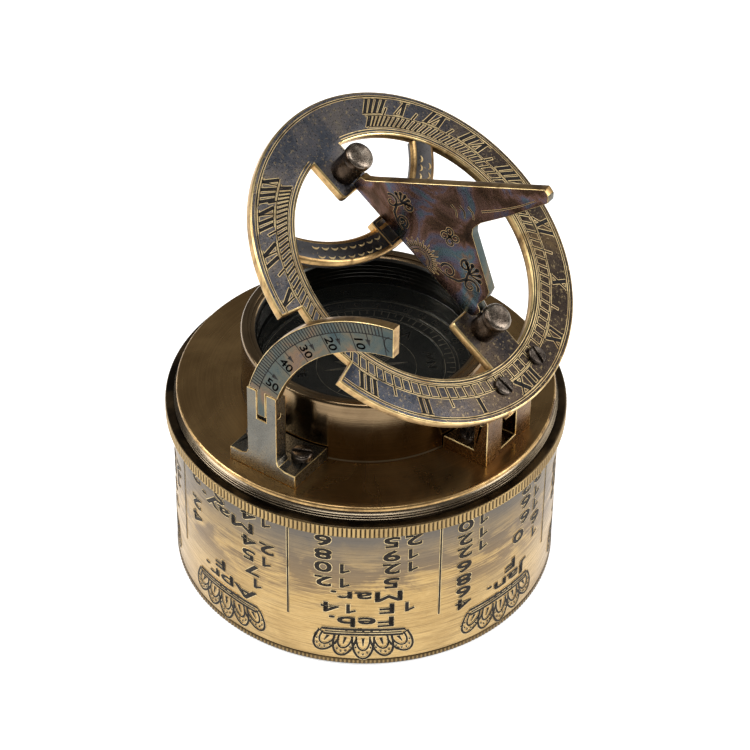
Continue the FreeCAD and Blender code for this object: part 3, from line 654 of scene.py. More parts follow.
# calendar on the drum: words in reading order, drawn upside down because the cover is upturned
# each panel stands at its angle round the drum: (words, place along the drum where they end, height)
PANELS = {
    35: [
        ("Feb.", 9.0, 14.2), ("1F", -3.8, 18.7), ("14", 10.8, 18.7), ("Mar.", 8.6, 22.9),
        ("5", -4.4, 27.4), ("12", 12.4, 27.4), ("12", -4.4, 32.2), ("10", 12.4, 32.2), ("19", -4.4, 36.5),
        ("8", 12.4, 36.5), ("25", -4.4, 41.0), ("6", 12.4, 41.0),
    ],
    80: [
        ("Jan.", 5.4, 14.2), ("4", 14.8, 14.6), ("F", -1.0, 18.7), ("6", 14.8, 18.7), ("1", -11.2, 22.9),
        ("8", 14.8, 22.9), ("6", -11.2, 27.4), ("0", -3.4, 26.6), ("6", 14.8, 27.4), ("1", -11.2, 32.2),
        ("6", -6.0, 31.6), ("12", 14.8, 32.2), ("16", -6.0, 36.5), ("12", 14.8, 36.5), ("22", -6.0, 41.0),
        ("10", 14.8, 41.0),
    ],
    -10: [
        ("Apr.", 8.4, 14.2), ("1", -8.4, 19.4), ("F", 4.0, 18.7), ("7", -6.8, 23.6), ("15", -5.6, 28.2),
        ("4", 14.2, 27.4), ("24", -5.6, 32.8), ("2", 14.2, 32.2), ("May.", 9.2, 37.2), ("14", -5.6, 41.4),
        ("S", 4.0, 41.0), ("2", 14.2, 41.0),
    ],
    -55: [
        ("Jun.", 8.6, 14.2), ("1", -8.4, 18.7), ("F", 4.0, 18.7), ("9", -5.6, 23.4), ("16", -5.6, 28.0),
        ("4", 13.8, 28.0), ("23", -5.6, 32.4), ("6", 13.8, 32.4), ("Jul.", 8.0, 37.0), ("30", -5.6, 41.2),
        ("8", 13.8, 41.2),
    ],
    -100: [
        ("Aug.", 9.0, 14.2), ("1F", -3.8, 18.7), ("13", 10.8, 18.7), ("6", -5.6, 23.4),
        ("20", 12.4, 23.4), ("13", -5.6, 28.0), ("27", 12.4, 28.0), ("Sep.", 9.0, 32.6),
        ("4", -5.6, 37.0), ("18", 12.4, 37.0), ("11", -5.6, 41.2), ("25", 12.4, 41.2),
    ],
    -145: [
        ("Oct.", 8.6, 14.2), ("1", -8.4, 18.7), ("F", 4.0, 18.7), ("8", -5.6, 23.4), ("22", 12.4, 23.4),
        ("15", -5.6, 28.0), ("29", 12.4, 28.0), ("5", -5.6, 32.4), ("12", 12.4, 32.4), ("19", -5.6, 36.8),
        ("26", 12.4, 41.2),
    ],
    170: [
        ("Nov.", 9.0, 14.2), ("1F", -3.8, 18.7), ("14", 10.8, 18.7), ("7", -5.6, 23.4),
        ("21", 12.4, 23.4), ("14", -5.6, 28.0), ("28", 12.4, 28.0), ("3", -5.6, 32.4), ("10", 12.4, 32.4),
        ("17", -5.6, 36.8), ("24", 12.4, 41.2),
    ],
    125: [
        ("Dec.", 9.0, 14.2), ("1", -8.4, 18.7), ("F", 4.0, 18.7), ("9", -5.6, 23.4), ("23", 12.4, 23.4),
        ("16", -5.6, 28.0), ("30", 12.4, 28.0), ("6", -5.6, 32.4), ("13", 12.4, 32.4), ("20", -5.6, 36.8),
        ("27", 12.4, 41.2),
    ],
}


def drum_map(middle):
    """Reading frame of one panel: x along the drum as it is read, y up the letters, z out of the drum."""
    def mapping(x, y, z):
        turn = math.radians(middle) - x / cover_r
        r = cover_r + z
        return Vector((r * math.cos(turn), r * math.sin(turn), -y))
    return mapping


def shell_ornament(marks):
    """A plain scalloped fan over a banded foot, standing on its head like the words."""
    base = -11.8
    for rise, half, width in ((0.0, 10.3, 0.75), (0.9, 9.6, 0.42), (1.75, 10.0, 0.7)):
        sag = [(half * k / 12, base + rise - 0.45 * math.cos(math.pi * k / 24)) for k in range(-12, 13)]
        marks.line(sag, width)
    for side in (-1, 1):
        marks.line([(side * 10.3, base), (side * 10.9, base + 0.8), (side * 10.0, base + 1.65)], 0.45)
    for k in range(-4, 5):
        marks.stroke((k * 2.1 - 0.35, base + 0.02), (k * 2.1 + 0.35, base + 0.02), 0.34)
    for k in range(-2, 3):
        lean = k * 0.24
        root = Vector((k * 4.3, base + 2.1 - 0.12 * abs(k)))
        tall = 7.6 - abs(k) * 0.7
        along = Vector((math.sin(lean), math.cos(lean)))
        across = Vector((along.y, -along.x))

        def lobe(scale, turn):
            side = 2.75 * scale * math.cos(turn)
            return root - across * side + along * (tall * scale * math.sin(turn) ** 0.8)

        for scale, width in ((1.0, 0.60), (0.62, 0.50)):
            marks.line([lobe(scale, math.pi * t / 24) for t in range(25)], width)
        marks.line([root + along * (tall * q) for q in (0.08, 0.25, 0.42)], 0.8, lambda t: 1 - 0.75 * t)
        for q in range(5):
            spot = lobe(0.81, math.pi * (0.18 + 0.16 * q))
            marks.dot(spot.x, spot.y, 0.28, 8)


def calendar_number(marks, words, x, y):
    """Wide even digits that end at x; the one gets a flag."""
    pitch, half_height = 5.5, 1.6
    font_lift = 0.19
    middle = y + font_lift
    for k, sign in enumerate(reversed(words)):
        right = x - k * pitch
        if sign == "1":
            stem = right - 1.5
            marks.stroke((stem, middle - half_height), (stem, middle + half_height), 0.95)
            marks.stroke((stem, middle + half_height - 0.3), (stem - 1.9, middle + half_height - 1.1), 0.6)
        else:
            marks.text(sign, right, y, 4.7, 2.0, weight=0.14, align="RIGHT")


def make_calendar():
    for index, (middle, rows) in enumerate(PANELS.items()):
        marks = Inlay(drum_map(middle), burr=0.14, fill_top=0.11, burr_top=0.085, depth=-0.2)
        for words, x, z in rows:
            if words.endswith("."):
                marks.text(words, x, -z - 0.8, 4.7, 2.2, weight=0.13, align="RIGHT")
            else:
                calendar_number(marks, words, x, -z - 0.8)
        shell_ornament(marks)
        edge = cover_r * math.radians(22.5)
        marks.stroke((edge, -14.5), (edge, -cover_top + 0.9), 0.45)
        marks.finish(f"calendar_panel_{index + 1}", "cover", ["drum_black", "halo"])


# ------------------------------------------------------------------ base

flange_r = high("base_ring").x
deck_top = high("deck_plate").z
deck_r = high("deck_plate").x
flange_low = cover_top
flange_high = flange_low + 3.4


def make_base():
    def teeth(radius, height, s):
        if radius < flange_r - 0.02 or not flange_low + 0.35 < height < flange_high - 0.45:
            return 0.0
        return (-KNURL_DEEP, -KNURL_DEEP * 0.25, 0.0, -KNURL_DEEP * 0.25)[s % 4]

    ledge = low("deck_plate").z
    seat, bore = 45.03, 41.5
    bottom, top = low("base_ring").z, high("base_ring").z
    spigot = cover_inner - 0.4
    outline = [
        (bore, bottom), (spigot - 0.2, bottom), (spigot, bottom + 0.2), (spigot, flange_low),
        (flange_r - 0.35, flange_low), (flange_r - 0.02, flange_low + 0.25), (flange_r, flange_low + 0.45),
        (flange_r, flange_low + 0.9),
    ]
    outline += inset(flange_r, flange_high, [(0, 1.0), (0, 0.55), (0.06, 0.35), (0.25, 0.08), (0.6, 0)])
    outline += [(48.7, flange_high), (48.6, flange_high - 0.12), (48.35, flange_high - 0.12),
                (48.3, flange_high + 0.02), (47.65, flange_high + 0.06)]
    for start, crest, tall in ((0.22, 48.55, 0.62), (0.98, 48.45, 0.55), (1.66, 48.30, 0.42)):
        z = flange_high + start
        outline += [(47.75, z), (crest - 0.12, z + 0.12), (crest, z + 0.2), (crest, z + tall - 0.2),
                    (crest - 0.12, z + tall - 0.1), (47.75, z + tall)]
    outline += [(47.5, 50.85), (47.3, top), (seat, top), (seat, ledge), (bore, ledge)]

    thread_r = 48.62

    # the faces above the flange inside the knurl take the dark thread colour, which is painted shade
    def paint(a, b):
        middle_r, middle_z = (a[0] + b[0]) / 2, (a[1] + b[1]) / 2
        if middle_r > thread_r and middle_z > flange_low:
            return 0
        return 1 if middle_z > flange_low else 2

    lathe("base_flange_and_thread", outline, "base", ["knurl", "thread", "inside"], ["base_ring"],
          segments=KNURLS * 4, teeth=teeth, paint=paint, sharp=50.0)

    # the deck's outer chamfer takes the brown edge colour: a painted reflection of the chamfer, with some
    # edge wear
    rim = deck_top - 1.1
    lathe("deck_spun_plate", [
        (0.0, ledge), (seat - 0.03, ledge), (seat - 0.03, rim), (deck_r - 0.1, rim), (deck_r, rim + 0.1),
        *inset(deck_r, deck_top, [(0, 0.62), (0.06, 0.42), (0.2, 0.2), (0.42, 0.05), (0.7, 0), (2.0, 0)]),
        (33.0, deck_top), (0.0, deck_top),
    ], "base", ["deck", "edge_wear_and_highlight"], ["deck_plate"],
        paint=lambda a, b: 1 if min(a[0], b[0]) > deck_r - 0.45 and max(a[1], b[1]) > rim + 0.05 else 0)


# ------------------------------------------------------------------ compass

house_r = 31.35
house_top = high("compass_housing").z
dial_top = high("compass_dial").z
glass_low = low("compass_glass").z
glass_top = high("compass_glass").z
well_r = 27.3


def make_compass():
    floor_top = low("compass_dial").z
    bore = high("compass_dial").x + 0.05
    lathe("compass_housing_wall", [
        (0.0, deck_top), (house_r + 0.25, deck_top), (house_r + 0.25, deck_top + 0.25),
        (house_r + 0.12, deck_top + 0.45), (house_r, deck_top + 0.6),
        *inset(house_r, house_top, [(0, 1.25), (0.03, 0.75), (0.16, 0.4), (0.38, 0.16), (0.7, 0.03), (1, 0)]),
        (29.75, house_top), (29.68, house_top - 0.1), (29.55, house_top - 0.1), (29.48, house_top),
        (bore + 0.12, house_top), (bore, house_top - 0.12), (bore, floor_top), (0.0, floor_top),
    ], "base", ["housing", "rim"], ["compass_housing"],
        paint=lambda a, b: 1 if min(a[1], b[1]) > house_top - 1.3 else 0)

    outer = bore - 0.05
    steps = [(well_r, glass_top + 0.3)]
    z = glass_top + 0.8
    sleeve_top = high("glass_sleeve").z
    while z < sleeve_top - 1.4:
        steps += [(well_r, z), (well_r + 0.10, z + 0.06), (well_r + 0.10, z + 0.14), (well_r, z + 0.20)]
        z += 1.15
    lathe("glass_sleeve_black", [
        (well_r + 0.2, glass_top), (outer, glass_top), (outer, sleeve_top), (well_r + 1.05, sleeve_top),
        (well_r + 0.55, sleeve_top - 0.25), (well_r + 0.08, sleeve_top - 0.9), *steps[::-1],
        (well_r, glass_top + 0.15),
    ], "base", ["well", "rim"], ["glass_sleeve"],
        paint=lambda a, b: 1 if min(a[1], b[1]) > sleeve_top - 0.5 else 0)
    sleeve = [(well_r, dial_top), (outer, dial_top), (outer, glass_low), (well_r, glass_low)]
    lathe("dial_sleeve_black", soften(sleeve, 0.15), "base", ["well"], ["dial_sleeve"])
    disc = [(0.0, glass_low, 0), (outer, glass_low), (outer, glass_top), (0.0, glass_top, 0)]
    lathe("compass_glass_disc", soften(disc, 0.2), "base", ["glass"], ["compass_glass"])
    dial = [(0.0, floor_top), (outer, floor_top), (outer, dial_top)]
    for groove in (26.8, 22.9, 19.4):
        dial += [(groove + 0.2, dial_top), (groove + 0.1, dial_top - 0.12),
                 (groove - 0.1, dial_top - 0.12), (groove - 0.2, dial_top)]
    dial += [(0.65, dial_top), (0.65, floor_top + 0.6), (0.0, floor_top + 0.6)]
    lathe("dial_disc", dial, "base", ["dial"], ["compass_dial"])

    marks = Inlay(flat_on(Matrix.Translation((0, 0, dial_top))), burr=0.0, fill_top=0.06)
    for radius, width in ((26.45, 0.16), (23.35, 0.14), (22.45, 0.14), (19.85, 0.14), (12.6, 0.12)):
        marks.ring(radius, width, 0, 360, 4.0)
    for degree in range(0, 360, 5):
        marks.stroke(polar(22.4, degree), polar(21.0 if degree % 10 else 20.3, degree), 0.22)
    for degree in range(0, 360, 10):
        from_pole = 90 - abs(90 - degree % 180)
        marks.text(str(from_pole), *polar(24.9, 90 - degree), 2.3, 1.0, 180 - degree, 0.02)
    for index, words in enumerate(("N", "NE", "E", "SE", "S", "SW", "W", "NW")):
        size = 4.2 if len(words) == 1 else 3.3
        marks.text(words, *polar(16.6, 90 - 45 * index), size, 1.1, 180 - 45 * index, 0.05)
    for k in range(16):
        turn = 22.5 * k
        tip = polar(12.4 if k % 4 == 0 else 10.6 if k % 2 == 0 else 8.2, turn)
        waist = 3.1 if k % 2 == 0 else 4.4
        for side in (-1, 1):
            marks.stroke(tip, polar(waist, turn + side * 11.25), 0.16)
        marks.stroke(tip, polar(1.6, turn), 0.12)
    marks.finish("dial_marks", "base", ["dial_line"])

    needle_z = low("compass_needle").z
    thick = high("compass_needle").z - needle_z
    length = high("compass_needle").y
    left = [
        (-2.55, length - 8.5, 0.2), (-1.1, length - 8.0, 0.2), (-1.1, 6.2), (-2.3, 3.0, 0.6),
        (-2.3, -3.0, 0.6), (-1.1, -6.2), (-1.1, -length + 6.0, 0.2),
        (-2.4, -length + 2.0, 0.2), (-2.0, -length, 0.2),
    ]
    right = [(-x, *rest) for x, *rest in reversed(left)]
    shape = soften([(0, length, 0.1), *left, (0, -length + 2.6, 0.1), *right], 0.5)
    hole = arc(2.2, 0, 354, 59)
    middle = Matrix.Translation((0, 0, needle_z + thick / 2))
    plate("compass_needle_arrow", [shape, hole], thick, 0.12, middle,
          "needle", ["needle", "needle"], ["compass_needle"])
    cap_top = high("needle_cap").z
    lathe("needle_cap_brass", [
        (0.95, needle_z), (2.1, needle_z), (2.2, needle_z + 0.1), (2.2, cap_top - 0.8),
        (2.0, cap_top - 0.5), (1.5, cap_top - 0.18), (0.8, cap_top - 0.04), (0.0, cap_top),
        (0.0, cap_top - 0.5), (0.5, cap_top - 0.5),
    ], "needle", ["gold"], ["needle_cap"], segments=64)
    tip = high("needle_pivot").z
    foot = low("needle_pivot").z
    lathe("needle_pivot_pin", [
        (0.0, foot), (0.6, foot), (0.6, dial_top + 0.6), (0.42, dial_top + 1.2), (0.15, tip - 0.1),
        (0.0, tip),
    ], "base", ["gold"], ["needle_pivot"], segments=32)


# ------------------------------------------------------------------ screws

def slotted_head(name, centre, place, radius, tall, slot_turn, body, nodes=(), dome=0.3):
    """A slotted screw head: a turned skirt with two rounded half moons on it, one each side of the slot."""
    bm = bmesh.new()
    deep = 0.62
    half_slot = 0.34
    skirt = [(0.0, 0.0), (radius, 0.0), (radius, tall - deep), (0.0, tall - deep)]
    count = 48
    rows = [[bm.verts.new((*polar(r, 360 * k / count), z)) for k in range(count)] for r, z in skirt]
    for row, following in zip(rows, rows[1:]):
        bridge(bm, row, following)
    for side in (-1, 1):
        layers = []
        for grow, z in ((0.0, tall - deep), (0.0, tall - dome), (0.10, tall - dome * 0.5),
                        (0.26, tall - dome * 0.15), (0.5, tall)):
            r = radius - grow
            edge = half_slot + grow * 0.5
            start = math.degrees(math.asin(edge / r))
            ring_points = arc(r, start, 180 - start, 20)
            layers.append([bm.verts.new((x, y * side, z)) for x, y in ring_points])
        for row, following in zip(layers, layers[1:]):
            bridge(bm, row, following)
        bm.faces.new(layers[-1])
        bm.faces.new(layers[0][::-1])
    turn = Matrix.Translation(centre) @ Matrix.Rotation(math.radians(slot_turn), 4, "Z")
    bmesh.ops.transform(bm, matrix=place @ turn, verts=bm.verts)
    return piece(name, bm, body, ["screw"], nodes, 38.0)


# ------------------------------------------------------------------ upright pieces

def round_edges(node, face, edge, width=0.22):
    """Rounds the edges of a CAD node and gives the rounding a brighter brass, partly edge wear and partly
    painted highlight.
    """
    obj = frame["nodes"][node]
    obj.data.materials.clear()
    obj.data.materials.append(MAT[face])
    obj.data.materials.append(MAT[edge])
    weld = obj.modifiers.new("weld", "WELD")
    weld.merge_threshold = 1e-6
    bevel = obj.modifiers.new("round", "BEVEL")
    bevel.width = width * MM
    bevel.segments = 2
    bevel.limit_method = "ANGLE"
    bevel.angle_limit = math.radians(40)
    bevel.material = 1


FOOT_HEAD_R = 2.7


def make_uprights():
    round_edges("latitude_post", "post", "gold")
    round_edges("hinge_bracket", "bracket", "gold")
    round_edges("hinge_tongue", "bracket", "edge_wear_and_highlight")
    for node in ("arc_pin", "hinge_pin", "gnomon_pins", "housing_screws"):
        round_edges(node, "screw", "screw", 0.08)
    foot_top = deck_top + 3.8
    post_low, post_high = low("post_screws"), high("post_screws")
    x = (post_low.x + post_high.x) / 2
    for name, y, turn, nodes in (("post_screw_head_1", post_high.y - FOOT_HEAD_R, 115, ["post_screws"]),
                                 ("post_screw_head_2", post_low.y + FOOT_HEAD_R, 40, ())):
        slotted_head(name, (x, y, foot_top), IDENTITY, FOOT_HEAD_R, 2.0, turn, "base", nodes, 0.6)
    side_low, side_high = low("bracket_screws"), high("bracket_screws")
    y = (side_low.y + side_high.y) / 2
    for name, x, turn, nodes in (("bracket_screw_head_1", side_high.x - FOOT_HEAD_R, 20, ["bracket_screws"]),
                                 ("bracket_screw_head_2", side_low.x + FOOT_HEAD_R, 75, ())):
        slotted_head(name, (x, y, foot_top), IDENTITY, FOOT_HEAD_R, 2.0, turn, "base", nodes, 0.6)


ARC_Y, ARC_Z, ARC_OUT, ARC_IN = 45.2, 65.2, 50.6, 42.4


def make_arc():
    arc_low, arc_high = low("latitude_arc"), high("latitude_arc")
    thick = arc_high.x - arc_low.x
    shoulder, end_y = 78.0, arc_high.y
    start_out = 180 - math.degrees(math.asin((shoulder - ARC_Z) / ARC_OUT))
    start_in = 180 - math.degrees(math.asin((shoulder - ARC_Z) / ARC_IN))
    end_out = math.degrees(math.acos((end_y - ARC_Y) / ARC_OUT))
    end_in = math.degrees(math.acos((end_y - ARC_Y) / ARC_IN))
    centre = (ARC_Y, ARC_Z)
    tongue = 1.2
    pin_z = JOINTS["arc_swing"]["pos_m"][2] / MM
    outer = arc(ARC_OUT, start_out, end_out, 48, centre)
    inner = arc(ARC_IN, end_in, start_in, 48, centre)
    foot = [(tongue, shoulder), (tongue, pin_z - 1.4), (-tongue, pin_z - 1.4), (-tongue, shoulder)]
    place = Matrix.Translation(((arc_low.x + arc_high.x) / 2, 0, 0)) @ PLATE_EAST
    plate("latitude_arc_blade", [outer + inner + foot], thick, 0.16, place,
          "arc", ["arc", "gold", "edge_wear_and_highlight"], ["latitude_arc"])

    face = Matrix.Translation((arc_high.x, 0, 0)) @ PLATE_EAST
    marks = Inlay(flat_on(face), burr=0.0, fill_top=0.03)

    def at(radius, turn):
        return polar(radius, turn, centre)

    # degrees of latitude run down the blade from the tip to the post
    tip_turn, degree_step, line_r = 102.5, 1.157, 47.7
    for radius, first, last, width in ((line_r, 99.3, 163.6, 0.24), (ARC_OUT - 0.28, 98.9, 164.2, 0.20)):
        marks.line([at(radius, first + k * (last - first) / 60) for k in range(61)], width)
    for degree in range(0, 53):
        turn = tip_turn + degree * degree_step
        marks.stroke(at(ARC_OUT - 0.3, turn), at(line_r, turn), 0.32)
        if degree % 10 == 0:
            marks.stroke(at(line_r, turn), at(ARC_IN + 0.25, turn), 0.24)
            if degree:
                spot = at(45.0, turn - 2.1)
                marks.text(str(degree), spot[0], spot[1], 3.7, 1.0, turn - 181.5, 0.05)
        elif degree % 5 == 0:
            marks.stroke(at(line_r, turn), at(45.6, turn), 0.24)
            marks.prism([at(46.1, turn - 0.9), at(46.1, turn + 0.9), at(44.3, turn)][::-1], marks.fill_top, 0)
    bow = [math.radians(degree) for degree in range(-80, 81, 10)]
    marks.line([(37.0 - 1.7 * math.cos(t), 110.3 + 2.1 * math.sin(t)) for t in bow], 0.28)
    marks.finish("latitude_arc_marks", "arc", ["black"])


# ------------------------------------------------------------------ hour ring

RING_T = 2.4
OUT_R, IN_R = 44.4, 32.6
NOTCH_R, NOTCH_S, NOTCH_N = 38.0, -12.5, 13.5
STYLE_V = -22.0
ARCH_V, ARCH_OUT, ARCH_IN, ARCH_SINK = -42.0, 37.5, 31.0, 0.3
BLOCK_SINK = 0.8
NORTH_PILLAR_V, SOUTH_PILLAR_V = 24.1, -26.4
LADDER_END = 121.5
HOUR_TURN = 15.0


def from_style(turn, radius):
    """Where the ray at an angle from noon (east positive), drawn from the style's foot, meets a circle."""
    d = Vector((math.sin(math.radians(turn)), math.cos(math.radians(turn))))
    o = Vector((0, STYLE_V))
    b = o.dot(d)
    return o + d * (-b + math.sqrt(b * b - o.dot(o) + radius * radius))


def in_notch(point):
    angle = math.degrees(math.atan2(point[1], point[0]))
    return NOTCH_S - 0.3 < angle < NOTCH_N + 0.3 and Vector(point).length > NOTCH_R - 0.3


GLYPHS = {
    "I": (1.62, [((0.0, 0.0), (0.0, 1.0), 1.0)]),
    "V": (2.9, [((-0.95, 1.0), (0.0, 0.0), 1.0), ((1.0, 1.0), (0.15, 0.0), 0.42)]),
    "X": (2.9, [((-1.0, 1.0), (1.0, 0.0), 1.0), ((1.0, 1.0), (-1.0, 0.0), 0.42)]),
}


def engrave_numeral(marks, words, turn, stretch):
    """Roman numeral with its head to the style's foot, so its strokes lean along the hour line."""
    widths = [GLYPHS[letter][0] * stretch for letter in words]
    total = sum(widths)
    reach = (from_style(turn, 40.4) - Vector((0, STYLE_V))).length
    base_r, head_r = 42.35, 38.45

    def spot(s, t):
        return from_style(turn - math.degrees(s / reach), base_r + (head_r - base_r) * t)

    if any(in_notch(spot(s, t)) for s in (-total / 2, total / 2) for t in (0, 1)):
        return
    along = -total / 2
    for letter, width in zip(words, widths):
        middle = along + width / 2
        for (s0, t0), (s1, t1), thick in GLYPHS[letter][1]:
            heavy = thick * (0.45 + stretch * 0.5)
            marks.stroke(spot(middle + s0 * stretch, t0), spot(middle + s1 * stretch, t1), heavy)
        for t in (0.0, 1.0):
            marks.line([spot(middle + (k / 2 - 0.5) * (width - 0.1), t) for k in range(3)], 0.26)
        along += width


def make_ring():
    ring_place = RING @ Matrix.Translation((0, 0, -RING_T / 2))
    outer = arc(OUT_R, NOTCH_N, 360 + NOTCH_S, 200) + arc(NOTCH_R, NOTCH_S, NOTCH_N, 16)
    n_half, n_end = 5.9, 17.9
    s_half, s_end = 5.3, -21.2
    top = math.degrees(math.acos(n_half / IN_R))
    side = math.degrees(math.acos(s_half / IN_R))
    round_end = 1.2
    hole = arc(IN_R, -side, top, 90)
    root = IN_R - 1.5

    def lug(half, start, end):
        return soften([(half, start), (half, end, round_end), (-half, end, round_end), (-half, start)], 0)

    hole += lug(n_half, root, n_end)
    hole += arc(IN_R, 180 - top, 180 + side, 90)
    hole += lug(-s_half, -root, s_end)
    plate("hour_ring_plate", [outer, hole], RING_T, 0.42, ring_place,
          "ring", ["ring", "gold", "edge_wear_and_highlight"], ["hour_ring"])

    # cross bar: an arch with rounded shoulders and a recessed block in its middle
    bm = bmesh.new()
    shoulder = [(0, 1.45), (0.12, 1.0), (0.55, 0.5), (1.2, ARCH_SINK)]
    profile = [(ARCH_IN, -RING_T), (ARCH_OUT, -RING_T)] + inset(ARCH_OUT, 0, shoulder)
    profile += [(ARCH_IN + inward, -down) for inward, down in reversed(shoulder)]
    half_turn = 49.6
    steps = 60
    rows = []
    for k in range(steps + 1):
        turn = 90 - half_turn + 2 * half_turn * k / steps
        rows.append([bm.verts.new((*polar(r, turn, (0, ARCH_V)), z)) for r, z in profile])
    # the rounded shoulders take the brown edge colour, partly edge wear and partly painted highlight
    rounded = (2, 3, 4, 6, 7, 8)
    for row, following in zip(rows, rows[1:]):
        for j in range(len(profile)):
            i = (j + 1) % len(profile)
            face = bm.faces.new((row[j], row[i], following[i], following[j]))
            face.material_index = 1 if j in rounded else 0
    bm.faces.new(rows[0])
    bm.faces.new(rows[-1][::-1])
    bmesh.ops.transform(bm, matrix=RING, verts=bm.verts)
    piece("hour_ring_arch", bm, "ring", ["arm", "edge_wear_and_highlight"], (), 38.0)

    pad = [(-4.0, -12.8), (4.0, -12.8), (4.0, -5.2), (-4.0, -5.2)]
    pit = [(-3.1, -11.9), (3.1, -11.9), (3.1, -6.1), (-3.1, -6.1)]
    block = RING_T - BLOCK_SINK
    floor_place = RING @ Matrix.Translation((0, 0, -BLOCK_SINK - block / 2))
    plate("hour_ring_block_floor", [soften(pad, 0.5)], block, 0.12, floor_place,
          "ring", ["arm", "edge_wear_and_highlight"], ())
    plate("hour_ring_block_rim", [soften(pad, 0.5), soften(pit, 0.35)], 1.0, 0.2,
          RING @ Matrix.Translation((0, 0, -0.5)), "ring", ["arm", "edge_wear_and_highlight"], ())

    marks = Inlay(flat_on(RING, -ARCH_SINK), burr=0.0, fill_top=0.10)
    for side_x in (-1, 1):
        for k in range(9):
            for row, radius in ((0, 32.6), (1, 34.9)):
                angle = 90 - side_x * (9.5 + k * 4.5 + row * 2.2)
                if abs(angle - 90) > 43:
                    continue
                middle = Vector(polar(radius, angle, (0, ARCH_V)))
                crescent = [middle + Vector(polar(1.05, angle + lean)) for lean in range(-60, 61, 12)]
                marks.line(crescent, 0.44, lambda t: 0.2 + 0.8 * math.sin(math.pi * t))
    marks.finish("hour_ring_arch_scales", "ring", ["line_gold"])

    marks = Inlay(flat_on(RING), burr=0.15, fill_top=0.05, burr_top=0.03)
    low_turn, high_turn = NOTCH_N + 0.8, 360 + NOTCH_S - 0.8
    marks.ring(43.0, 0.34, low_turn, high_turn)
    # minute ladder, cut along the rays of the style
    ends = [from_style(sign * LADDER_END, 36.0) for sign in (1, -1)]
    east_end = math.degrees(math.atan2(ends[0][1], ends[0][0]))
    west_end = math.degrees(math.atan2(ends[1][1], ends[1][0])) % 360
    marks.ring(37.75, 0.26, east_end, NOTCH_S - 0.5)
    marks.ring(37.45, 0.26, NOTCH_S, NOTCH_N)
    marks.ring(37.75, 0.26, NOTCH_N + 0.5, west_end)
    marks.ring(34.75, 0.26, east_end, west_end)
    for k in range(-48, 49):
        turn = 2.5 * k
        marks.stroke(from_style(turn, 37.6), from_style(turn, 34.85), 0.42 if abs(turn) < 75 else 0.55)
    for sign in (1, -1):
        marks.stroke(from_style(sign * LADDER_END, 37.75), from_style(sign * LADDER_END, 34.75), 0.45)
    for radius in (33.85, 33.15):
        marks.ring(radius, 0.16, -side + 1.0, 360 - side - 20.0, burr=False)
        marks.prism_ring(radius + 0.24, 0.22, -side + 1.0, 360 - side - 20.0)
    hours = {0: "XII", 1: "I", 2: "II", 3: "III", 4: "IIII", 5: "V", 6: "VI", 7: "VII", 8: "VIII",
             -1: "XI", -2: "X", -3: "IX", -4: "VIII", -5: "VII", -6: "VI", -7: "V", -8: "IIII"}
    for hour, words in hours.items():
        stretch = 1.35 if hour == 0 else 1.05 if abs(hour) < 4 else 0.95 if abs(hour) < 7 else 0.86
        engrave_numeral(marks, words, HOUR_TURN * hour, stretch)
        halves = [sign * HOUR_TURN / 2 for sign in (1, -1) if sign * hour >= 0]
        for turn in [HOUR_TURN * hour + half for half in halves]:
            if abs(turn) < 119 and not in_notch(from_style(turn, 39.6)):
                marks.stroke(from_style(turn, 37.9), from_style(turn, 40.0), 0.45)
    marks.finish("hour_ring_marks", "ring", ["black", "line_gold"])

    screw_v = 37.4
    for name, x, turn, nodes in (("ring_screw_head_1", 7.1, 95, ["ring_screws"]),
                                 ("ring_screw_head_2", -7.1, 78, ())):
        slotted_head(name, (x, screw_v, 0.0), RING, 2.4, 1.1, turn, "ring", nodes, 0.42)
    under = RING @ Matrix.Translation((0, 0, -RING_T)) @ Matrix.Rotation(math.pi, 4, "X")
    for name, y, turn, nodes in (("pillar_screw_head_1", NORTH_PILLAR_V, 30, ["pillar_screws"]),
                                 ("pillar_screw_head_2", SOUTH_PILLAR_V, 70, ())):
        slotted_head(name, (0, -y, 0.0), under, 2.7, 1.8, turn, "ring", nodes, 0.5)

    # each pillar's domed top takes the lighter pillar_top colour
    for name, node, y, tall in (("north_pillar_turned", "north_pillar", NORTH_PILLAR_V, 8.2),
                                ("south_pillar_turned", "south_pillar", SOUTH_PILLAR_V, 9.2)):
        neck = tall - 2.6
        lathe(name, [
            (0.0, 0.0), (3.4, 0.0), (3.4, 0.5), (3.36, neck - 1.9), (3.28, neck - 1.1), (3.18, neck - 0.5),
            (3.3, neck - 0.25), (3.58, neck), (3.65, neck + 0.3), (3.65, tall - 1.15), (3.55, tall - 0.8),
            (3.3, tall - 0.5), (2.8, tall - 0.28), (2.0, tall - 0.14), (1.0, tall - 0.04), (0.0, tall),
        ], "ring", ["pillar", "pillar_top"], [node],
            place=RING @ Matrix.Translation((0, y, 0)), segments=96,
            paint=lambda a, b: 1 if min(a[1], b[1]) > tall - 0.9 else 0)


# ------------------------------------------------------------------ gnomon

def spiral(cx, cy, radius, start, turns, hand=1, shrink=0.12):
    """A volute that winds in to its eye."""
    points = []
    for k in range(29):
        t = k / 28
        r = radius * (1 - t) + radius * shrink * t
        points.append(polar(r, start + hand * turns * 360 * t, (cx, cy)))
    return points


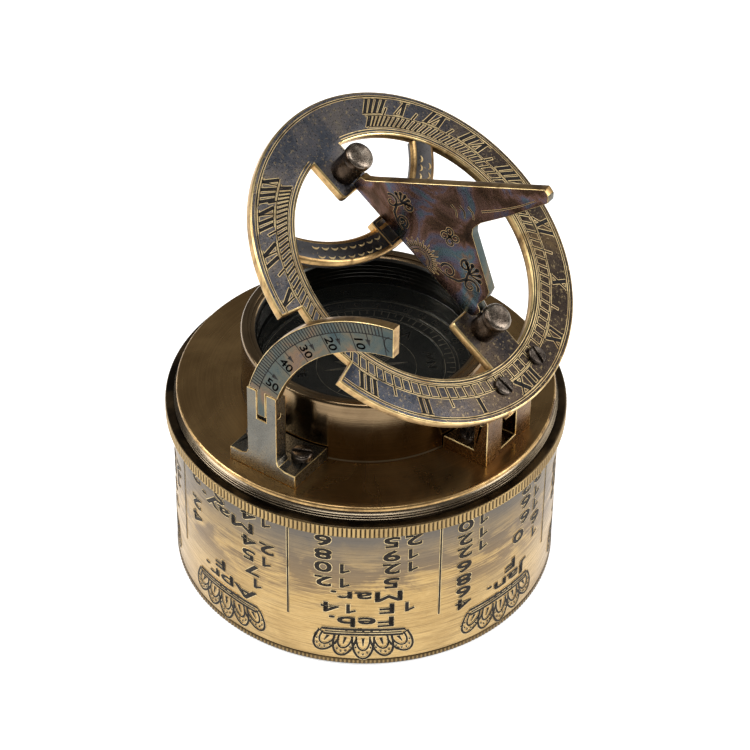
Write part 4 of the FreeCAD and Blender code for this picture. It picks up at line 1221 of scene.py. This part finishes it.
def gnomon_ornament(marks):
    """Half sun, volutes with sprays, a four-lobed knot, leaves and a tendril, all from plain curves."""
    sun = (1.3, 1.2)
    marks.line(arc(2.9, 0, 180, 18, sun), 0.42)
    marks.line(arc(2.2, 12, 168, 18, sun), 0.24)
    for k in range(21):
        turn = 6 + k * 168 / 20
        marks.stroke(polar(3.6, turn, sun), polar(6.0 if k % 2 else 5.0, turn, sun), 0.50, 0.12)
    for cx, cy, hand, tall in ((11.2, 8.9, 1, 1.25), (-10.9, 7.9, -1, 1.05)):
        for along, up, radius, start, turns, flip in (
            (-2.5, -2.2, 1.8, 200, 1.15, -1), (2.4, -0.4, 1.9, 20, 1.15, 1), (-1.0, 2.5, 1.4, 120, 1.0, 1),
        ):
            volute = spiral(cx + hand * along * tall, cy + up * tall, radius * tall,
                            start if hand > 0 else 180 - start, turns, flip * hand)
            marks.line(volute, 0.72, lambda t: 1.0 - 0.45 * t)
        stem = [(-4.2, -4.0), (-1.8, -3.4), (0.2, -2.0), (0.9, 0.0), (0.2, 2.0), (-0.6, 3.2)]
        marks.line([(cx + hand * u * tall, cy + v * tall) for u, v in stem], 0.7,
                   lambda t: 0.4 + 0.8 * math.sin(math.pi * t))
        for k in range(5):
            turn = math.radians(20 + k * 30)
            root = Vector((cx + hand * 0.6 * tall, cy + 1.6 * tall))
            tip = root + Vector((hand * math.cos(turn), math.sin(turn))) * 2.5 * tall
            marks.stroke(tuple(root), tuple(tip), 0.2, 0.85)
            marks.dot(tip.x, tip.y, 0.5 * tall)
    knot = (2.2, 14.6)
    for turn in (45, 135, 225, 315):
        marks.line(spiral(*polar(1.55, turn, knot), 1.3, turn + 180, 0.95, 1, 0.3), 0.5)
    marks.dot(*knot, 0.55)
    for k in range(3):
        root = Vector((-3.2 + k * 1.5, 22.4 + k * 1.9))
        marks.line([root, root + Vector((1.8, -0.1)), root + Vector((3.2, -1.5))], 0.5, lambda t: 1 - 0.5 * t)
    marks.line([(2.8, 28.6), (5.3, 33.5), (7.7, 39.5), (9.2, 44.6)], 0.4, lambda t: 1 - 0.6 * t)


def make_gnomon():
    thick = high("gnomon").x - low("gnomon").x
    south, north, foot = -22.7, 20.4, 0.7
    outline = soften([
        (south, foot + 0.6, 0.3), (south + 0.6, foot, 0.3), (north - 2.6, foot),
        (north - 0.5, foot + 1.0, 0.8), (north, foot + 2.4, 0.8), (north, foot + 4.4, 0.5),
        (north - 1.7, foot + 5.4, 0.4), (18.9, 9.8, 0.4), (18.3, 12.1, 0.5), (5.4, 21.0, 2.0),
        (4.4, 22.6, 1.5), (4.7, 25.8, 1.5), (7.7, 34.3), (11.5, 47.2, 0.8), (10.5, 48.7, 0.7),
        (8.6, 49.2, 0.5), (-20.4, 6.4, 0.6), (-21.4, 5.2, 0.4), (south, foot + 4.2, 0.4),
    ], 0.3)
    # local x of the plate runs towards the hinge, local y out of the ring's face, local z east
    stand = RING @ PLATE_EAST
    blade = plate("gnomon_plate", [outline], thick, 0.16, stand,
                  "gnomon", ["gnomon", "gold", "edge_wear_and_highlight", "arc"], ["gnomon"])
    # the edges that look towards the hinge have the arc's dark patina
    for polygon in blade.data.polygons:
        if polygon.material_index and polygon.normal.dot(-SOUTHWARD) > 0.3:
            polygon.material_index = 3
    for side, flip in (("east", 1), ("west", -1)):
        face = stand @ Matrix.Scale(flip, 4, (0, 0, 1)) @ Matrix.Translation((0, 0, thick / 2))
        marks = Inlay(flat_on(face), burr=0.08, fill_top=0.035, burr_top=0.02)
        gnomon_ornament(marks)
        marks.finish(f"gnomon_ornament_{side}", "gnomon", ["black", "burr"])


# ------------------------------------------------------------------ floor, lights, camera

def soft_light(name, place, aim, size, power):
    data = bpy.data.lights.new(name, "AREA")
    data.shape = "RECTANGLE"
    data.size, data.size_y = size
    data.energy = power
    light = bpy.data.objects.new(name, data)
    bpy.context.scene.collection.objects.link(light)
    light.location = place
    light.rotation_euler = (Vector(aim) - Vector(place)).to_track_quat("-Z", "Y").to_euler()


def make_stage():
    bm = bmesh.new()
    half, below = 4.0, -0.0002
    corners = ((-half, -half), (half, -half), (half, half), (-half, half))
    bm.faces.new([bm.verts.new((x, y, below)) for x, y in corners])
    mesh = bpy.data.meshes.new("floor")
    bm.to_mesh(mesh)
    bm.free()
    floor = bpy.data.objects.new("floor", mesh)
    bpy.context.scene.collection.objects.link(floor)
    n = Nodes("floor_paper")
    grain = n.noise(30.0, 3.0)
    shade = n.mix(grain, (0.90, 0.90, 0.90), (0.94, 0.94, 0.94))
    n.plug(n.shader.inputs["Emission Color"], shade)
    n.shader.inputs["Emission Strength"].default_value = 0.75
    floor.data.materials.append(n.done(shade, 0.9, 0.0))

    world = bpy.data.worlds.new("studio")
    bpy.context.scene.world = world
    world.use_nodes = True
    world.node_tree.nodes["Background"].inputs["Color"].default_value = (1.0, 0.98, 0.96, 1.0)
    world.node_tree.nodes["Background"].inputs["Strength"].default_value = 0.16

    aim = (0, 0, 0.07)
    soft_light("left", (0.42, -0.62, 0.50), aim, (0.35, 0.5), 4.4)
    soft_light("right", (-0.35, 0.72, 0.42), aim, (0.3, 0.5), 3.8)
    soft_light("ring_side", (-0.75, 0.25, 0.50), aim, (0.30, 0.30), 0.7)
    soft_light("top", (0.10, 0.05, 0.95), aim, (0.45, 0.45), 3.5)


def make_camera():
    data = bpy.data.cameras.new("camera")
    data.lens = 143.4
    data.sensor_width = 36.0
    data.clip_start = 0.01
    camera = bpy.data.objects.new("camera", data)
    bpy.context.scene.collection.objects.link(camera)
    right = Vector((-0.57808, 0.8159, 0.01114))
    up = Vector((-0.5206, -0.3793, 0.76492))
    back = Vector((0.62833, 0.43639, 0.64403))
    turn = Matrix((right, up, back)).transposed().to_4x4()
    camera.matrix_world = Matrix.Translation((0.4713, 0.3300, 0.5381)) @ turn
    bpy.context.scene.camera = camera


# knurl colours for the flange and the cover end, with painted shade in the grooves
MAT["knurl"] = knurl_brass((flange_r - KNURL_DEEP) * MM, (flange_r - 0.04) * MM)
MAT["knurl_cover"] = knurl_brass((high("cover_end").x - 0.24) * MM, (high("cover_end").x + 0.08) * MM)
make_camera()
make_cover()
make_calendar()
make_base()
make_compass()
make_uprights()
make_arc()
make_ring()
make_gnomon()
make_stage()
bpy.context.scene.view_settings.view_transform = "Standard"
